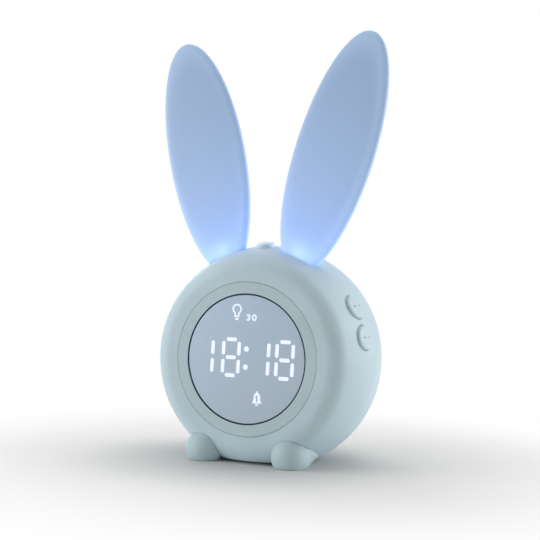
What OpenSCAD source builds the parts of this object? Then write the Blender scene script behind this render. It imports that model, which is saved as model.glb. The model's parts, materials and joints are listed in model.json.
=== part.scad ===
// Bedside alarm clock with glowing ears: a ball-shaped case on two paw feet, with a round mirrored
// display in front, a press key on top and two more on its right side. It opens at the back.
// Millimetres, +Z up, the display faces -Y. The origin is on the ground below the middle of the clock.

/* [Case] */
// Diameter of the ball
ball_d = 104; // [100:1:110]
// Thickness of the moulded walls
wall = 2.4; // [2:0.1:2.8]
// Distance from the ball's centre forward to the flat face
face_reach = 27; // [26:0.5:29]
// Radius of the rounding between the flat face and the ball
face_edge_r = 9; // [8:0.5:10]
// Distance from the ball's centre back to the seam of the two shells
seam_back = 27; // [26:0.5:28]
// Depth of the ball that the flat underside cuts off
base_cut = 6.1; // [5.6:0.1:7]
// Height of the flat underside above the ground
base_gap = 1.2; // [1:0.1:1.5]
// Width of the chamfer along the seam
seam_chamfer = 0.35; // [0.2:0.05:0.6]
// Depth of the tongue that locates the rear shell in the front shell
tongue_depth = 2.4; // [2:0.1:3]
// Thickness of that tongue
tongue_wall = 1.2; // [1:0.1:1.5]
// Depth of the rear shell's floor under the heads of the case screws
case_seat_t = 2.5; // [2:0.1:3]

/* [Face] */
// Visible width of the ring around the lens
ring_w = 5.3; // [4.8:0.1:5.8]
// Diameter of the mirrored lens
lens_d = 57.8; // [57:0.2:58.2]
// Open line between the lens and the ring
lens_gap = 0.5; // [0.3:0.1:0.6]
// Thickness of the lens
lens_t = 2; // [1.8:0.1:2.2]
// Depth of the lens below the flat face
lens_inset = 0.3; // [0.2:0.1:0.5]
// Thickness of the ring's visible rim
ring_t = 1.6; // [1.4:0.1:2]
// Thickness of the ring's skirt behind the rim
skirt_t = 2; // [1.6:0.1:2.2]
// Width of the ledge that carries the lens
lens_ledge = 1.2; // [1:0.1:1.3]
// Width of the shell's flange that carries the ring
ring_seat = 5.6; // [5:0.2:6]

/* [Display] */
// Height of a digit between the middles of its top and bottom strokes
digit_h = 17; // [15:0.5:18]
// Width of a digit between the middles of its side strokes
digit_w = 8.1; // [7.4:0.1:8.4]
// Width of a stroke
stroke = 1.7; // [1.4:0.05:1.8]
// How much shorter a stroke is than the step from corner to corner
stroke_gap = 1.5; // [1.2:0.1:1.8]
// Lean of the digits to the right, in degrees
digit_slant = 4.2; // [0:0.2:6]
// Diameter of the colon's dots
dot_d = 2; // [1.6:0.1:2.4]
// Depth of the light block behind the film
block_depth = 7.6; // [6:0.2:9]
// Thickness of the light block's flange
block_flange_t = 1.6; // [1.4:0.1:2]
// How far the light block's flange and the display board reach past the lens
display_rim = 4.8; // [4.6:0.1:5]
// Thickness of the diffuser film
film_t = 0.25; // [0.2:0.05:0.3]
// Thickness of every circuit board
board_t = 1.6; // [1.2:0.2:1.6]

/* [Ears] */
// Width of an ear
ear_w = 39.1; // [36:0.5:42]
// Height of the full oval of an ear
ear_h = 114.6; // [108:0.2:120]
// Thickness of an ear
ear_t = 7; // [6.6:0.2:7.4]
// Distance of the oval's centre to the side of the ball's centre
ear_x = 32.6; // [32:0.2:34]
// Height of the oval's centre above the top of the ball
ear_rise = 42; // [40:0.5:44]
// Distance of the oval's centre forward of the ball's centre
ear_forward = 8.8; // [8.4:0.2:9.2]
// Outward lean of the ears, in degrees
ear_splay = 15.8; // [15:0.2:17]
// Backward lean of the ears, in degrees
ear_lean = 3.6; // [3:0.2:4]
// Turn of the ears' outer edges to the front, in degrees
ear_toe = 2.6; // [2:0.2:3]

/* [Keys] */
// Diameter of a side key
side_key_d = 11.4; // [10.8:0.2:12]
// Diameter of the top key
top_key_d = 8.6; // [8:0.2:9.4]
// Height of a side key above the ball
side_key_proud = 1.2; // [1:0.1:1.6]
// Height of the top key above the ball
top_key_proud = 2; // [1.7:0.1:2.3]
// Rounding of a key's edge
key_edge_r = 1.2; // [0.8:0.1:1.3]
// Distance from the ball's centre forward to the keys
key_reach = 9; // [8.4:0.2:9.6]
// Open line around a key
key_gap = 0.3; // [0.3:0.05:0.4]
// Travel of a key
key_travel = 0.5; // [0.3:0.05:0.6]
// Height of the middle between the two side keys round the ball, in degrees
mid_key_angle = 21; // [20:0.5:22]
// Width of the wall between the two side keys
side_key_space = 3.1; // [2.8:0.1:3.6]

/* [Feet] */
// Distance of a paw's toe centre to the side
foot_x = 21.5; // [20.7:0.2:22.3]
// Distance of a paw's toe centre forward of the ball's centre
foot_forward = 22.3; // [21.5:0.2:23.5]
// Radius of the rounded toe
toe_r = 8.7; // [8.3:0.1:9.2]
// Radius of the rounded heel
heel_r = 8.2; // [7.4:0.2:8.6]
// Length between the toe's and the heel's centres
foot_length = 22; // [20:0.5:23]
// Height of a paw at the toe
foot_h = 13.6; // [13:0.1:14.2]
// Rise of a paw's axis towards the heel, in degrees
foot_rise = 14; // [12:0.5:16]
// Turn of the toes outwards, in degrees
foot_turn = 0; // [0:1:6]
// Diameter of the rear rubber pads
pad_d = 10; // [8:0.5:11]
// Depth of the pads' recesses
pad_recess = 0.6; // [0.4:0.1:0.8]

/* [Inside] */
// Diameter of the battery cell
cell_d = 18.4; // [18:0.1:18.6]
// Length of the battery cell
cell_l = 65; // [64:0.5:67]
// Diameter of the speaker
speaker_d = 36; // [34:1:38]
// Depth of the speaker
speaker_depth = 14; // [12:0.5:15]
// Height of the speaker's centre above the ball's centre
speaker_z = 8; // [6:0.5:10]
// Diameter of the grille's holes
grille_hole_d = 1.8; // [1.4:0.1:2]
// Width of the main board
main_w = 46; // [42:1:48]
// Height of the main board
main_h = 36; // [32:1:38]
// Width of the power socket
usb_w = 8.9; // [8.4:0.1:9.2]
// Height of the power socket
usb_h = 3.2; // [2.8:0.1:3.4]
// Length of the power socket
usb_l = 7.4; // [7:0.1:8]

/* [Hidden] */

$fn = 96;
soft = 0.1;        // clearance between fixed pieces
fit = 0.15;        // clearance of pieces that drop into a recess
shank_gap = 0.05;  // clearance of a screw's shank in its hole
over = 1;          // overshoot of cuts past a face

ball_r = ball_d / 2;
inner_r = ball_r - wall;
ball_z = base_gap + ball_r - base_cut;
base_z = base_cut - ball_r;
floor_z = base_z + wall;
front_reach = max(face_reach, foot_forward * cos(foot_turn) + toe_r);
ball_y = -(ball_r - front_reach) / 2;
edge_h = face_reach - face_edge_r;
edge_c = sqrt(pow(ball_r - face_edge_r, 2) - pow(edge_h, 2));
seam_inner_r = sqrt(pow(inner_r, 2) - pow(seam_back, 2));
tongue_r = seam_inner_r - fit;

lens_r = lens_d / 2;
bezel_r = lens_r + lens_gap;
ring_r = bezel_r + ring_w;
skirt_r = bezel_r + skirt_t;
seat_h = face_reach - ring_t;
lens_top = face_reach - lens_inset;
lens_bottom = lens_top - lens_t;
ledge_r = bezel_r - lens_ledge;
ledge_t = 1.8;
skirt_bottom = lens_bottom - ledge_t;
seat_bottom = seat_h - 2.8;
film_gap = 0.15;
film_top = lens_bottom - film_gap;
block_top = film_top - film_t;
block_r = ledge_r - 0.3;
block_bottom = block_top - block_depth;
board_top = block_bottom;
display_r = lens_r + display_rim;
display_screw_r = display_r - 2;
display_screw_angles = [45, 135, 225, 315];
display_boss_r = 2.2;

// Digits: centre of each, and which of its strokes can light (top, upper right, lower right, bottom,
// lower left, upper left, middle)
digit_x = [-20.8, -7.25, 8.05, 19.7];
colon_x = 0.25;
digit_z = 0.5;
bulb_place = [-4.9, 21.3];
bell_place = [6.4, -17.6];
small_digit_x = [1.05, 4.2];
small_digit_z = 19;

key_tilt = asin(key_reach / ball_r);
side_key_r = side_key_d / 2;
top_key_r = top_key_d / 2;
key_spread = asin((side_key_d + side_key_space) / ball_d);
upper_key_angle = mid_key_angle + key_spread;
lower_key_angle = mid_key_angle - key_spread;
top_key_angle = 90;
key_flange_w = 0.8;
key_flange_t = 1;
key_flange_gap = 0.35;
key_post_r = 1.5;
key_tip_s = key_flange_top(side_key_r) - key_flange_t - 1;
switch_gap = 0.1;
switch_w = 6;
switch_h = 3.5;
plunger_r = 1.7;
plunger_out = 1.5;
plunger_in = 1;
side_board_u = 13;
top_board_u = 7.5;
key_board_front = 5;
key_board_back = 11.8;
key_screw_u = [-4.8, 4.8];
key_screw_v = 9.5;
key_boss_rise = 14;

small_screw_r = 1;
small_head_r = 1.9;
small_head_t = 1.3;
small_boss_r = 2.3;
small_bite = 4.5;  // how far a small screw goes into its boss
display_screw_l = board_t + block_flange_t + small_bite - 0.5;
case_screw_r = 1.5;
case_head_r = 2.8;
case_head_t = 2;
case_boss_r = 3.6;
case_rib_t = 3;
head_gap = 0.3;
case_ring_r = seam_inner_r - case_head_r - head_gap;
case_screw_angles = [35, 145, -60, -120];
case_seat_y = seam_back + case_seat_t;
screw_depth = 7;

ear_z = ball_r + ear_rise;
ear_tenon_w = 14;
ear_tenon_t = 5;
ear_neck_rise = 14;
ear_boss_reach = 16;
ear_foot_t = 6.6;
ear_foot_top = -49.8;
ear_foot_bottom = -60;
ear_screw_z = -55.6;
ear_led_pocket = [6.4, 4.2, 2.4];
ear_board_screw_x = 5.2;
ear_board_w = 15;
ear_board_d = 8.6;
ear_board_t = 1.2;
led_size = [3.5, 2.8, 1.9];

foot_screw_x = foot_x + 1;
foot_screw_forward = foot_forward - 1;
foot_axis_z = foot_h - toe_r;
foot_screw_seat = 2.6;
foot_column_h = 12;
foot_column_top = floor_z + foot_column_h;

pad_x = 13.5;
pad_y = 11;

cell_y = 8;
cell_z = -20;
cradle_x = 22;
cradle_t = 2.4;
strap_w = 10;
strap_t = 1.2;
strap_reach = cell_d / 2 + 6;
strap_screw_y = cell_d / 2 + 3.6;

speaker_r = speaker_d / 2;
speaker_inset = 16;
main_y = ball_r - speaker_inset - speaker_depth - 3;
main_z = 13;
main_screw_x = main_w / 2 - 4;
main_screw_z = main_h / 2 - 4;
chip_w = 10;
chip_t = 1.4;
connector_w = 7;
connector_d = 4.4;
connector_h = 4.5;
connector_wall = 0.8;

speaker_rim_t = 1.4;
speaker_bite = 2.6;
speaker_y = ball_r - speaker_inset;
speaker_screw_r = speaker_r + 2.2;
speaker_screw_angles = [30, 150, 270];
grille_pitch = 3.6;
grille_rings = 3;

usb_z = -27;
usb_mouth_y = sqrt(pow(ball_r, 2) - pow(usb_z, 2)) - 1.6;
usb_board_w = 20;
usb_board_l = 14;
usb_lip = 5;  // how far the board stays behind the socket's mouth
usb_screw_x = 7;
usb_screw_y = usb_mouth_y - usb_board_l + 2.6;

// ---------------------------------------------------------------- helpers

// Everything is drawn about the ball's centre and set down here.
module in_ball() translate([0, ball_y, ball_z]) children();

// Drawing plane facing the user: x to the right, y up, z towards the user.
module facing_front() rotate([90, 0, 0]) children();

// Drawing plane facing away from the user, with z pointing back.
module facing_back() rotate([-90, 0, 0]) children();

// Both sides of the clock, from a child drawn on the right.
module both_sides() {
    children();
    mirror([1, 0, 0]) children();
}

// A rod along Y from y0 to y1 at a place seen from the front.
module rod_y(r, x, z, y0, y1) translate([x, y0, z]) rotate([-90, 0, 0]) cylinder(r = r, h = y1 - y0);

// A rod upwards from z0 to z1.
module rod_z(r, x, y, z0, z1) translate([x, y, z0]) cylinder(r = r, h = z1 - z0);

// A block between two corners.
module block(low, high) translate(low) cube(high - low);

// A screw whose head sits at z = 0 and whose shank points down.
module screw(shank_r, length, head_r, head_h) {
    difference() {
        rotate_extrude() {
            square([shank_r, head_h / 2]);
            translate([0, 0]) square([head_r, head_h * 0.55]);
            square([head_r - head_h * 0.45, head_h]);
            translate([head_r - head_h * 0.45, head_h * 0.55]) circle(head_h * 0.45);
        }
        for (turn = [0, 90]) rotate([0, 0, turn]) translate([0, 0, head_h])
            cube([head_r * 1.1, head_h * 0.3, head_h], center = true);
    }
    translate([0, 0, -length]) cylinder(r = shank_r, h = length + head_h / 4);
}

// Half section of the ball with its flat face, shrunk inwards by inset. x is the distance from the
// axis and y the distance forward of the centre.
module ball_section(inset) {
    r = ball_r - inset;
    tangent_h = edge_h * r / (ball_r - face_edge_r);
    intersection() {
        union() {
            intersection() {
                circle(r);
                translate([0, -ball_r]) square([ball_r, ball_r + tangent_h]);
            }
            translate([edge_c, edge_h]) circle(face_edge_r - inset);
            square([edge_c, face_reach - inset]);
        }
        translate([0, -ball_r]) square([ball_r, 2 * ball_r]);
    }
}

// The whole ball as a solid, shrunk by inset and with its flat underside. The revolve starts and ends
// at the underside, where the flat cuts it.
module ball_solid(inset) {
    difference() {
        rotate([0, 90, 0]) facing_front() rotate_extrude() ball_section(inset);
        block([-ball_d, -ball_d, -ball_d], [ball_d, ball_d, base_z + inset]);
    }
}

// The hollow ball between two insets and two places along Y.
module hollow_ball(outer, inner, y0, y1) {
    difference() {
        ball_solid(outer);
        block([-ball_d, -ball_d, -ball_d], [ball_d, y0, ball_d]);
        block([-ball_d, y1, -ball_d], [ball_d, ball_d, ball_d]);
        ball_solid(inner);
    }
}

// The V groove along the seam.
module seam_groove() {
    seam_r = sqrt(pow(ball_r, 2) - pow(seam_back, 2));
    facing_back() rotate_extrude() translate([seam_r, seam_back]) rotate([0, 0, 45])
        square(seam_chamfer * sqrt(2), center = true);
}

// Places a child under a key: its z axis points out of the ball at this angle above the right side.
module at_key(angle) rotate([0, 90 - angle, 0]) rotate([key_tilt, 0, 0]) children();

// The holes through the wall that the keys stand in.
module key_holes() {
    at_key(top_key_angle) rod_z(top_key_r + key_gap, 0, 0, inner_r - 2 * wall, ball_d);
    for (angle = [upper_key_angle, lower_key_angle])
        at_key(angle) rod_z(side_key_r + key_gap, 0, 0, inner_r - 2 * wall, ball_d);
}

// ---------------------------------------------------------------- ears

// Places a child in the right ear's own frame: z up along the ear, x across it, y through it.
module at_ear() {
    translate([ear_x, -ear_forward, ear_z]) rotate([0, ear_splay, 0]) rotate([-ear_lean, 0, 0])
        rotate([0, 0, -ear_toe]) children();
}

// One oval ring of an ear: y is its place through the ear and inset its distance in from the edge.
ear_points = 64;
function ear_ring(y, inset) = [for (i = [0:ear_points - 1])
    [(ear_w / 2 - inset) * cos(i * 360 / ear_points), y, (ear_h / 2 - inset) * sin(i * 360 / ear_points)]];

// Place and inset of the rings from the front face round the edge to the back face.
function ear_profile() = let (r = ear_t / 2 * 0.92) concat(
    [[-ear_t / 2, r + ear_w * 0.2]],
    [for (a = [-90:22.5:90]) [r * sin(a), r - r * cos(a)]],
    [[ear_t / 2, r + ear_w * 0.2]]);

// The full oval slab with its rounded edge and slightly crowned faces.
module ear_slab() {
    rings = ear_profile();
    n = ear_points;
    last = (len(rings) - 1) * n;
    polyhedron(
        points = [for (ring = rings) each ear_ring(ring[0], ring[1])],
        faces = concat(
            [[for (i = [0:n - 1]) n - 1 - i], [for (i = [0:n - 1]) last + i]],
            [for (k = [0:len(rings) - 2]) for (i = [0:n - 1])
                [k * n + i, k * n + (i + 1) % n, (k + 1) * n + (i + 1) % n, (k + 1) * n + i]]),
        convexity = 4);
}

// The neck of an ear that passes through the case, grown by a clearance.
module ear_neck(gap) {
    block([-ear_tenon_w / 2 - gap, -ear_tenon_t / 2 - gap, ear_foot_bottom],
          [ear_tenon_w / 2 + gap, ear_tenon_t / 2 + gap, -ear_h / 2 + ear_neck_rise]);
}

module ear() {
    difference() {
        union() {
            difference() {
                at_ear() ear_slab();
                sphere(ball_r + soft);
            }
            intersection() {
                at_ear() ear_neck(0);
                sphere(ball_r + 2);
            }
            intersection() {
                at_ear() block([-ear_tenon_w / 2, -ear_foot_t / 2, ear_foot_bottom],
                               [ear_tenon_w / 2, ear_foot_t / 2, ear_foot_top]);
                sphere(inner_r - soft);
            }
        }
        at_ear() {
            rod_y(small_screw_r + shank_gap, 0, ear_screw_z, -ear_foot_t, ear_foot_t);
            translate([0, 0, ear_foot_bottom + ear_led_pocket[2] / 2 - 0.05])
                cube([ear_led_pocket[0], ear_led_pocket[1], ear_led_pocket[2] + 0.1], center = true);
            for (x = [-1, 1]) rod_z(small_screw_r + shank_gap, x * ear_board_screw_x, 0,
                                    ear_foot_bottom - over, ear_foot_bottom + 3);
        }
    }
}

module left_ear() color([0.72, 0.80, 0.98]) in_ball() mirror([1, 0, 0]) ear();
module right_ear() color([0.72, 0.80, 0.98]) in_ball() ear();

module ear_screws() color([0.62, 0.63, 0.65]) in_ball() both_sides() at_ear()
    translate([0, ear_foot_t / 2 + 0.05, ear_screw_z]) rotate([-90, 0, 0])
        screw(small_screw_r, ear_foot_t + small_bite, small_head_r, small_head_t);

module ear_light_boards() color([0.92, 0.92, 0.88]) in_ball() both_sides() at_ear() difference() {
    block([-ear_board_w / 2, -ear_board_d / 2, ear_foot_bottom - ear_board_t],
          [ear_board_w / 2, ear_board_d / 2, ear_foot_bottom]);
    for (x = [-1, 1]) rod_z(small_screw_r + shank_gap, x * ear_board_screw_x, 0,
                            ear_foot_bottom - ear_board_t - over, ear_foot_bottom + over);
}

module ear_leds() color([0.98, 0.93, 0.70]) in_ball() both_sides() at_ear()
    translate([-led_size[0] / 2, -led_size[1] / 2, ear_foot_bottom]) cube(led_size);

module ear_board_screws() color([0.62, 0.63, 0.65]) in_ball() both_sides() at_ear()
    for (x = [-1, 1]) translate([x * ear_board_screw_x, 0, ear_foot_bottom - ear_board_t])
        rotate([180, 0, 0]) screw(small_screw_r, ear_board_t + 2.8, small_head_r, 1.2);

// ---------------------------------------------------------------- shells

// Columns for the four case screws, each with a rib out to the wall.
module case_posts(r, y0, y1) {
    intersection() {
        for (angle = case_screw_angles) rotate([0, -angle, 0]) {
            rod_y(r, case_ring_r, 0, y0, y1);
            block([case_ring_r, y0, -case_rib_t / 2], [ball_r, y1, case_rib_t / 2]);
        }
        ball_solid(wall / 2);
    }
}

module case_screw_holes(r, y0, y1) {
    for (angle = case_screw_angles)
        rod_y(r, case_ring_r * cos(angle), case_ring_r * sin(angle), y0, y1);
}

// Bosses inside the front shell that carry the two key boards.
module key_board_bosses(r, w0, w1) {
    for (u = key_screw_u) translate([u, key_screw_v, w0]) cylinder(r = r, h = w1 - w0);
}

// Height of a key board's outer face above the ball's centre, for keys that stand spread degrees off
// the board's own axis.
function key_board_w(spread) = key_tip_s * cos(spread) - key_post_r - switch_gap - plunger_out - switch_h;

module all_key_board_bosses(r, depth, rise) {
    at_key(top_key_angle) key_board_bosses(r, key_board_w(0) + depth, key_board_w(0) + rise);
    at_key(mid_key_angle)
        key_board_bosses(r, key_board_w(key_spread) + depth, key_board_w(key_spread) + rise);
}

module display_bosses(r, h0, h1) {
    facing_front() for (angle = display_screw_angles)
        rod_z(r, display_screw_r * cos(angle), display_screw_r * sin(angle), h0, h1);
}

// Where each paw is screwed to the front shell.
module foot_columns(r, z0, z1) both_sides() rod_z(r, foot_screw_x, -foot_screw_forward, z0, z1);

// The cradle walls under the battery cell and the two posts that its strap is screwed to.
module cell_supports() {
    both_sides() block([cradle_x, cell_y - cell_d / 2 - 2, -ball_r],
                       [cradle_x + cradle_t, cell_y + cell_d / 2 + 2, cell_z]);
    for (side = [-1, 1]) rod_z(small_boss_r + 0.4, 0, cell_y + side * strap_screw_y, -ball_r, cell_z);
}

module strap_screw_holes() for (side = [-1, 1])
    rod_z(small_screw_r + shank_gap, 0, cell_y + side * strap_screw_y, cell_z - screw_depth, cell_z + over);

module front_shell() color([0.78, 0.90, 0.91]) in_ball() {
    difference() {
        union() {
            hollow_ball(0, wall, -ball_d + over, seam_back);
            facing_front() rod_z(skirt_r + ring_seat, 0, 0, seat_bottom, seat_h);
            case_posts(case_boss_r, seam_back - screw_depth - 1.5, seam_back);
            intersection() {
                union() {
                    all_key_board_bosses(small_boss_r, 0, key_boss_rise);
                    display_bosses(display_boss_r, block_bottom + block_flange_t, seat_bottom + soft);
                    foot_columns(case_boss_r, -ball_r, foot_column_top);
                    both_sides() at_ear()
                        rod_y(small_boss_r, 0, ear_screw_z, -ear_boss_reach, -ear_foot_t / 2);
                    cell_supports();
                }
                ball_solid(wall / 2);
            }
        }
        facing_front() {
            rod_z(ring_r + fit, 0, 0, seat_h, ball_r);
            rod_z(skirt_r + fit, 0, 0, seat_bottom - over, ball_r);
        }
        key_holes();
        both_sides() at_ear() ear_neck(fit);
        seam_groove();
        case_screw_holes(case_screw_r + shank_gap, seam_back - screw_depth, ball_r);
        all_key_board_bosses(small_screw_r + shank_gap, -over, 5);
        display_bosses(small_screw_r + shank_gap, block_bottom, seat_h - 1);
        foot_columns(case_screw_r + shank_gap, -ball_r, foot_column_top - 1);
        both_sides() at_ear() rod_y(small_screw_r + shank_gap, 0, ear_screw_z, -ear_foot_t / 2 - 5, 0);
        translate([0, cell_y, cell_z]) rotate([0, 90, 0])
            cylinder(r = cell_d / 2 + soft, h = cell_l + 2 * over, center = true);
        strap_screw_holes();
        both_sides() rod_z(pad_d / 2 + fit, pad_x, pad_y, -ball_r, base_z + pad_recess);
    }
}

// Rows of grille holes: one in the middle and rings around it.
module grille_holes() {
    translate([0, 0, speaker_z]) rotate([-90, 0, 0]) {
        cylinder(d = grille_hole_d, h = ball_r + over);
        for (k = [1:grille_rings]) for (i = [0:6 * k - 1]) rotate([0, 0, i * 60 / k])
            translate([k * grille_pitch, 0, 0]) cylinder(d = grille_hole_d, h = ball_r + over);
    }
}

// Outline of the power socket with its round ends, grown by a clearance.
module usb_outline(gap) {
    r = usb_h / 2 + gap;
    half = usb_w / 2 - usb_h / 2;
    translate([-half, -r]) square([2 * half, 2 * r]);
    for (side = [-1, 1]) translate([side * half, 0]) circle(r);
}

// Rods at the main board's four screws, at the speaker's and at the power socket's.
module main_board_rods(r, y0, y1) {
    for (x = [-1, 1]) for (z = [-1, 1]) rod_y(r, x * main_screw_x, main_z + z * main_screw_z, y0, y1);
}

module speaker_rods(r, y0) {
    for (angle = speaker_screw_angles)
        rod_y(r, speaker_screw_r * cos(angle), speaker_z + speaker_screw_r * sin(angle), y0, ball_r);
}

module usb_posts(r, z0, z1) both_sides() rod_z(r, usb_screw_x, usb_screw_y, z0, z1);

usb_board_top = usb_z - usb_h / 2;

// The ring inside the seam that locates the rear shell. It is left out round the case columns and over
// the flat floor.
module seam_tongue() {
    difference() {
        facing_back() rotate_extrude() polygon([
            [tongue_r - tongue_wall, seam_back - tongue_depth], [tongue_r, seam_back - tongue_depth],
            [tongue_r, seam_back], [seam_inner_r + wall / 3, seam_back],
            [tongue_r, seam_back + wall], [tongue_r - tongue_wall, seam_back + wall]
        ]);
        case_screw_holes(case_boss_r + head_gap, seam_back - tongue_depth - over, seam_back);
        block([-ball_r, seam_back - tongue_depth - over, -ball_r], [ball_r, seam_back, floor_z + fit]);
    }
}

module rear_shell() color([0.78, 0.90, 0.91]) in_ball() {
    difference() {
        union() {
            hollow_ball(0, wall, seam_back, ball_d - over);
            seam_tongue();
            case_posts(case_head_r + head_gap + tongue_wall, seam_back, ball_r);
            intersection() {
                union() {
                    main_board_rods(small_boss_r, main_y + board_t, ball_r);
                    speaker_rods(small_boss_r, speaker_y + speaker_rim_t);
                    translate([0, speaker_y + speaker_rim_t, speaker_z]) facing_back() difference() {
                        cylinder(r = speaker_r - 1, h = ball_r);
                        cylinder(r = speaker_r - 3, h = ball_r);
                    }
                    usb_posts(small_boss_r + 0.4, -ball_r, usb_board_top - board_t);
                }
                ball_solid(wall / 2);
            }
        }
        case_screw_holes(case_screw_r + shank_gap, seam_back - over, ball_r);
        case_screw_holes(case_head_r + head_gap, case_seat_y, ball_r + over);
        rear_screw_holes();
        grille_holes();
        translate([0, usb_mouth_y - 3, usb_z]) facing_back() linear_extrude(ball_r) usb_outline(fit);
        seam_groove();
    }
}

module rear_screw_holes() {
    hole_r = small_screw_r + shank_gap;
    depth = small_bite + 1;
    main_board_rods(hole_r, main_y, main_y + board_t + depth);
    for (angle = speaker_screw_angles)
        rod_y(hole_r, speaker_screw_r * cos(angle), speaker_z + speaker_screw_r * sin(angle),
              speaker_y, speaker_y + speaker_rim_t + speaker_bite + 0.2);
    usb_posts(hole_r, usb_board_top - board_t - depth, usb_board_top);
}

module case_screws() color([0.62, 0.63, 0.65]) in_ball()
    for (angle = case_screw_angles)
        translate([case_ring_r * cos(angle), case_seat_y, case_ring_r * sin(angle)]) facing_back()
            screw(case_screw_r, case_seat_t + screw_depth - 0.5, case_head_r, case_head_t);

// ---------------------------------------------------------------- face and display

module face_ring() color([0.72, 0.83, 0.83]) in_ball() facing_front() rotate_extrude() {
    translate([bezel_r, seat_h]) square([ring_r - bezel_r, ring_t]);
    translate([bezel_r, skirt_bottom]) square([skirt_t, face_reach - skirt_bottom]);
    translate([ledge_r, skirt_bottom]) square([lens_ledge + over / 2, ledge_t]);
}

module mirror_lens() color([0.66, 0.68, 0.76]) in_ball() facing_front() rotate_extrude() {
    bevel = 0.4;
    translate([0, lens_bottom]) square([lens_r, lens_t - bevel]);
    polygon([[0, lens_top - bevel], [lens_r, lens_top - bevel], [lens_r - bevel, lens_top], [0, lens_top]]);
}

module diffuser_film() color([0.95, 0.95, 0.93]) in_ball() facing_front()
    translate([0, 0, block_top]) cylinder(r = block_r, h = film_t);

// One stroke with pointed ends, lying along x.
module stroke_shape(length) {
    polygon([
        [-length / 2, 0], [-length / 2 + stroke / 2, stroke / 2], [length / 2 - stroke / 2, stroke / 2],
        [length / 2, 0], [length / 2 - stroke / 2, -stroke / 2], [-length / 2 + stroke / 2, -stroke / 2]
    ]);
}

// Centre and turn of each stroke of a digit: three level ones, then four upright ones.
function digit_strokes() = [
    for (level = [1, 0, -1]) [0, level * digit_h / 2, 0],
    for (side = [-1, 1]) for (half = [-1, 1]) [side * digit_w / 2, half * digit_h / 4, 90]
];
level_length = digit_w - stroke_gap;
upright_length = digit_h / 2 - stroke_gap;

// Places a child at each stroke of the four digits. $upright says which way the stroke runs.
module at_strokes() {
    for (x = digit_x) for (s = digit_strokes())
        translate([x + s[0] + s[1] * tan(digit_slant), digit_z + s[1]])
            rotate([0, 0, s[2] - (s[2] > 0 ? digit_slant : 0)]) {
                $upright = s[2] > 0;
                children();
            }
}

// Places a child at each of the colon's two dots.
module at_colon() {
    for (rise = [-1, 1] * digit_h / 4)
        translate([colon_x + rise * tan(digit_slant), digit_z + rise]) children();
}

// The chambers of the light block, as a flat outline.
module chambers() {
    at_strokes() stroke_shape($upright ? upright_length : level_length);
    at_colon() circle(d = dot_d);
    translate(bulb_place) circle(d = 5);
    translate(bulb_place - [1.2, 4.3]) square([2.4, 1.4]);
    for (x = small_digit_x) translate([x - 1.2, small_digit_z - 1.7]) square([2.4, 3.4]);
    translate(bell_place - [2.4, 2.8]) square([4.8, 6]);
}

module light_block() color([0.16, 0.16, 0.18]) in_ball() facing_front() {
    difference() {
        union() {
            translate([0, 0, block_bottom]) cylinder(r = block_r, h = block_depth);
            translate([0, 0, block_bottom]) cylinder(r = display_r, h = block_flange_t);
        }
        translate([0, 0, block_bottom - over]) linear_extrude(block_depth + 2 * over) chambers();
        for (angle = display_screw_angles)
            translate([display_screw_r * cos(angle), display_screw_r * sin(angle), block_bottom - over])
                cylinder(r = small_screw_r + shank_gap, h = block_flange_t + 2 * over);
    }
}

module display_board() color([0.10, 0.32, 0.20]) in_ball() facing_front() difference() {
    translate([0, 0, board_top - board_t]) cylinder(r = display_r, h = board_t);
    for (angle = display_screw_angles)
        translate([display_screw_r * cos(angle), display_screw_r * sin(angle), board_top - board_t - over])
            cylinder(r = small_screw_r + shank_gap, h = board_t + 2 * over);
}

// A small light on the display board.
module chip_led() translate([0, 0, board_top + 0.3]) cube([1.2, 0.8, 0.6], center = true);

module display_leds() color([0.98, 0.93, 0.70]) in_ball() facing_front() {
    at_strokes() chip_led();
    at_colon() chip_led();
    translate(bulb_place) chip_led();
    for (x = small_digit_x) translate([x, small_digit_z]) chip_led();
    translate(bell_place) chip_led();
}

module display_screws() color([0.62, 0.63, 0.65]) in_ball() facing_front()
    for (angle = display_screw_angles)
        translate([display_screw_r * cos(angle), display_screw_r * sin(angle), board_top - board_t])
            rotate([180, 0, 0]) screw(small_screw_r, display_screw_l, small_head_r, small_head_t);

// ---------------------------------------------------------------- keys and their switches

// Height above the ball's centre at which the flange of a key of radius r meets the wall.
function key_flange_top(r) = sqrt(pow(inner_r, 2) - pow(r + key_flange_w, 2)) - key_flange_gap;

// A press key, drawn along z from the ball's centre: a rounded cap, a flange that keeps it in the
// case, and a post with a round tip that meets the switch.
module key(r, proud) {
    crown_r = ball_r + proud;
    corner_x = r - key_edge_r;
    corner_s = sqrt(pow(crown_r - key_edge_r, 2) - pow(corner_x, 2));
    bottom = key_flange_top(r) - key_flange_t;
    rotate_extrude() {
        intersection() {
            circle(crown_r, $fn = 360);
            translate([0, bottom]) square([corner_x * crown_r / (crown_r - key_edge_r), crown_r]);
        }
        translate([corner_x, corner_s]) circle(key_edge_r);
        translate([0, bottom]) square([r, corner_s - bottom]);
        translate([0, bottom]) square([r + key_flange_w, key_flange_t]);
        translate([0, key_tip_s]) square([key_post_r, bottom - key_tip_s + 0.2]);
        intersection() {
            translate([0, key_tip_s]) circle(key_post_r);
            translate([0, key_tip_s - key_post_r]) square([key_post_r, 2 * key_post_r]);
        }
    }
}

// The sprung pin of a switch below a key that stands spread degrees off the board's axis.
module plunger(spread) {
    w = key_board_w(spread) + switch_h;
    rod_z(plunger_r, key_tip_s * sin(spread), 0, w - plunger_in, w + plunger_out);
}

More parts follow.
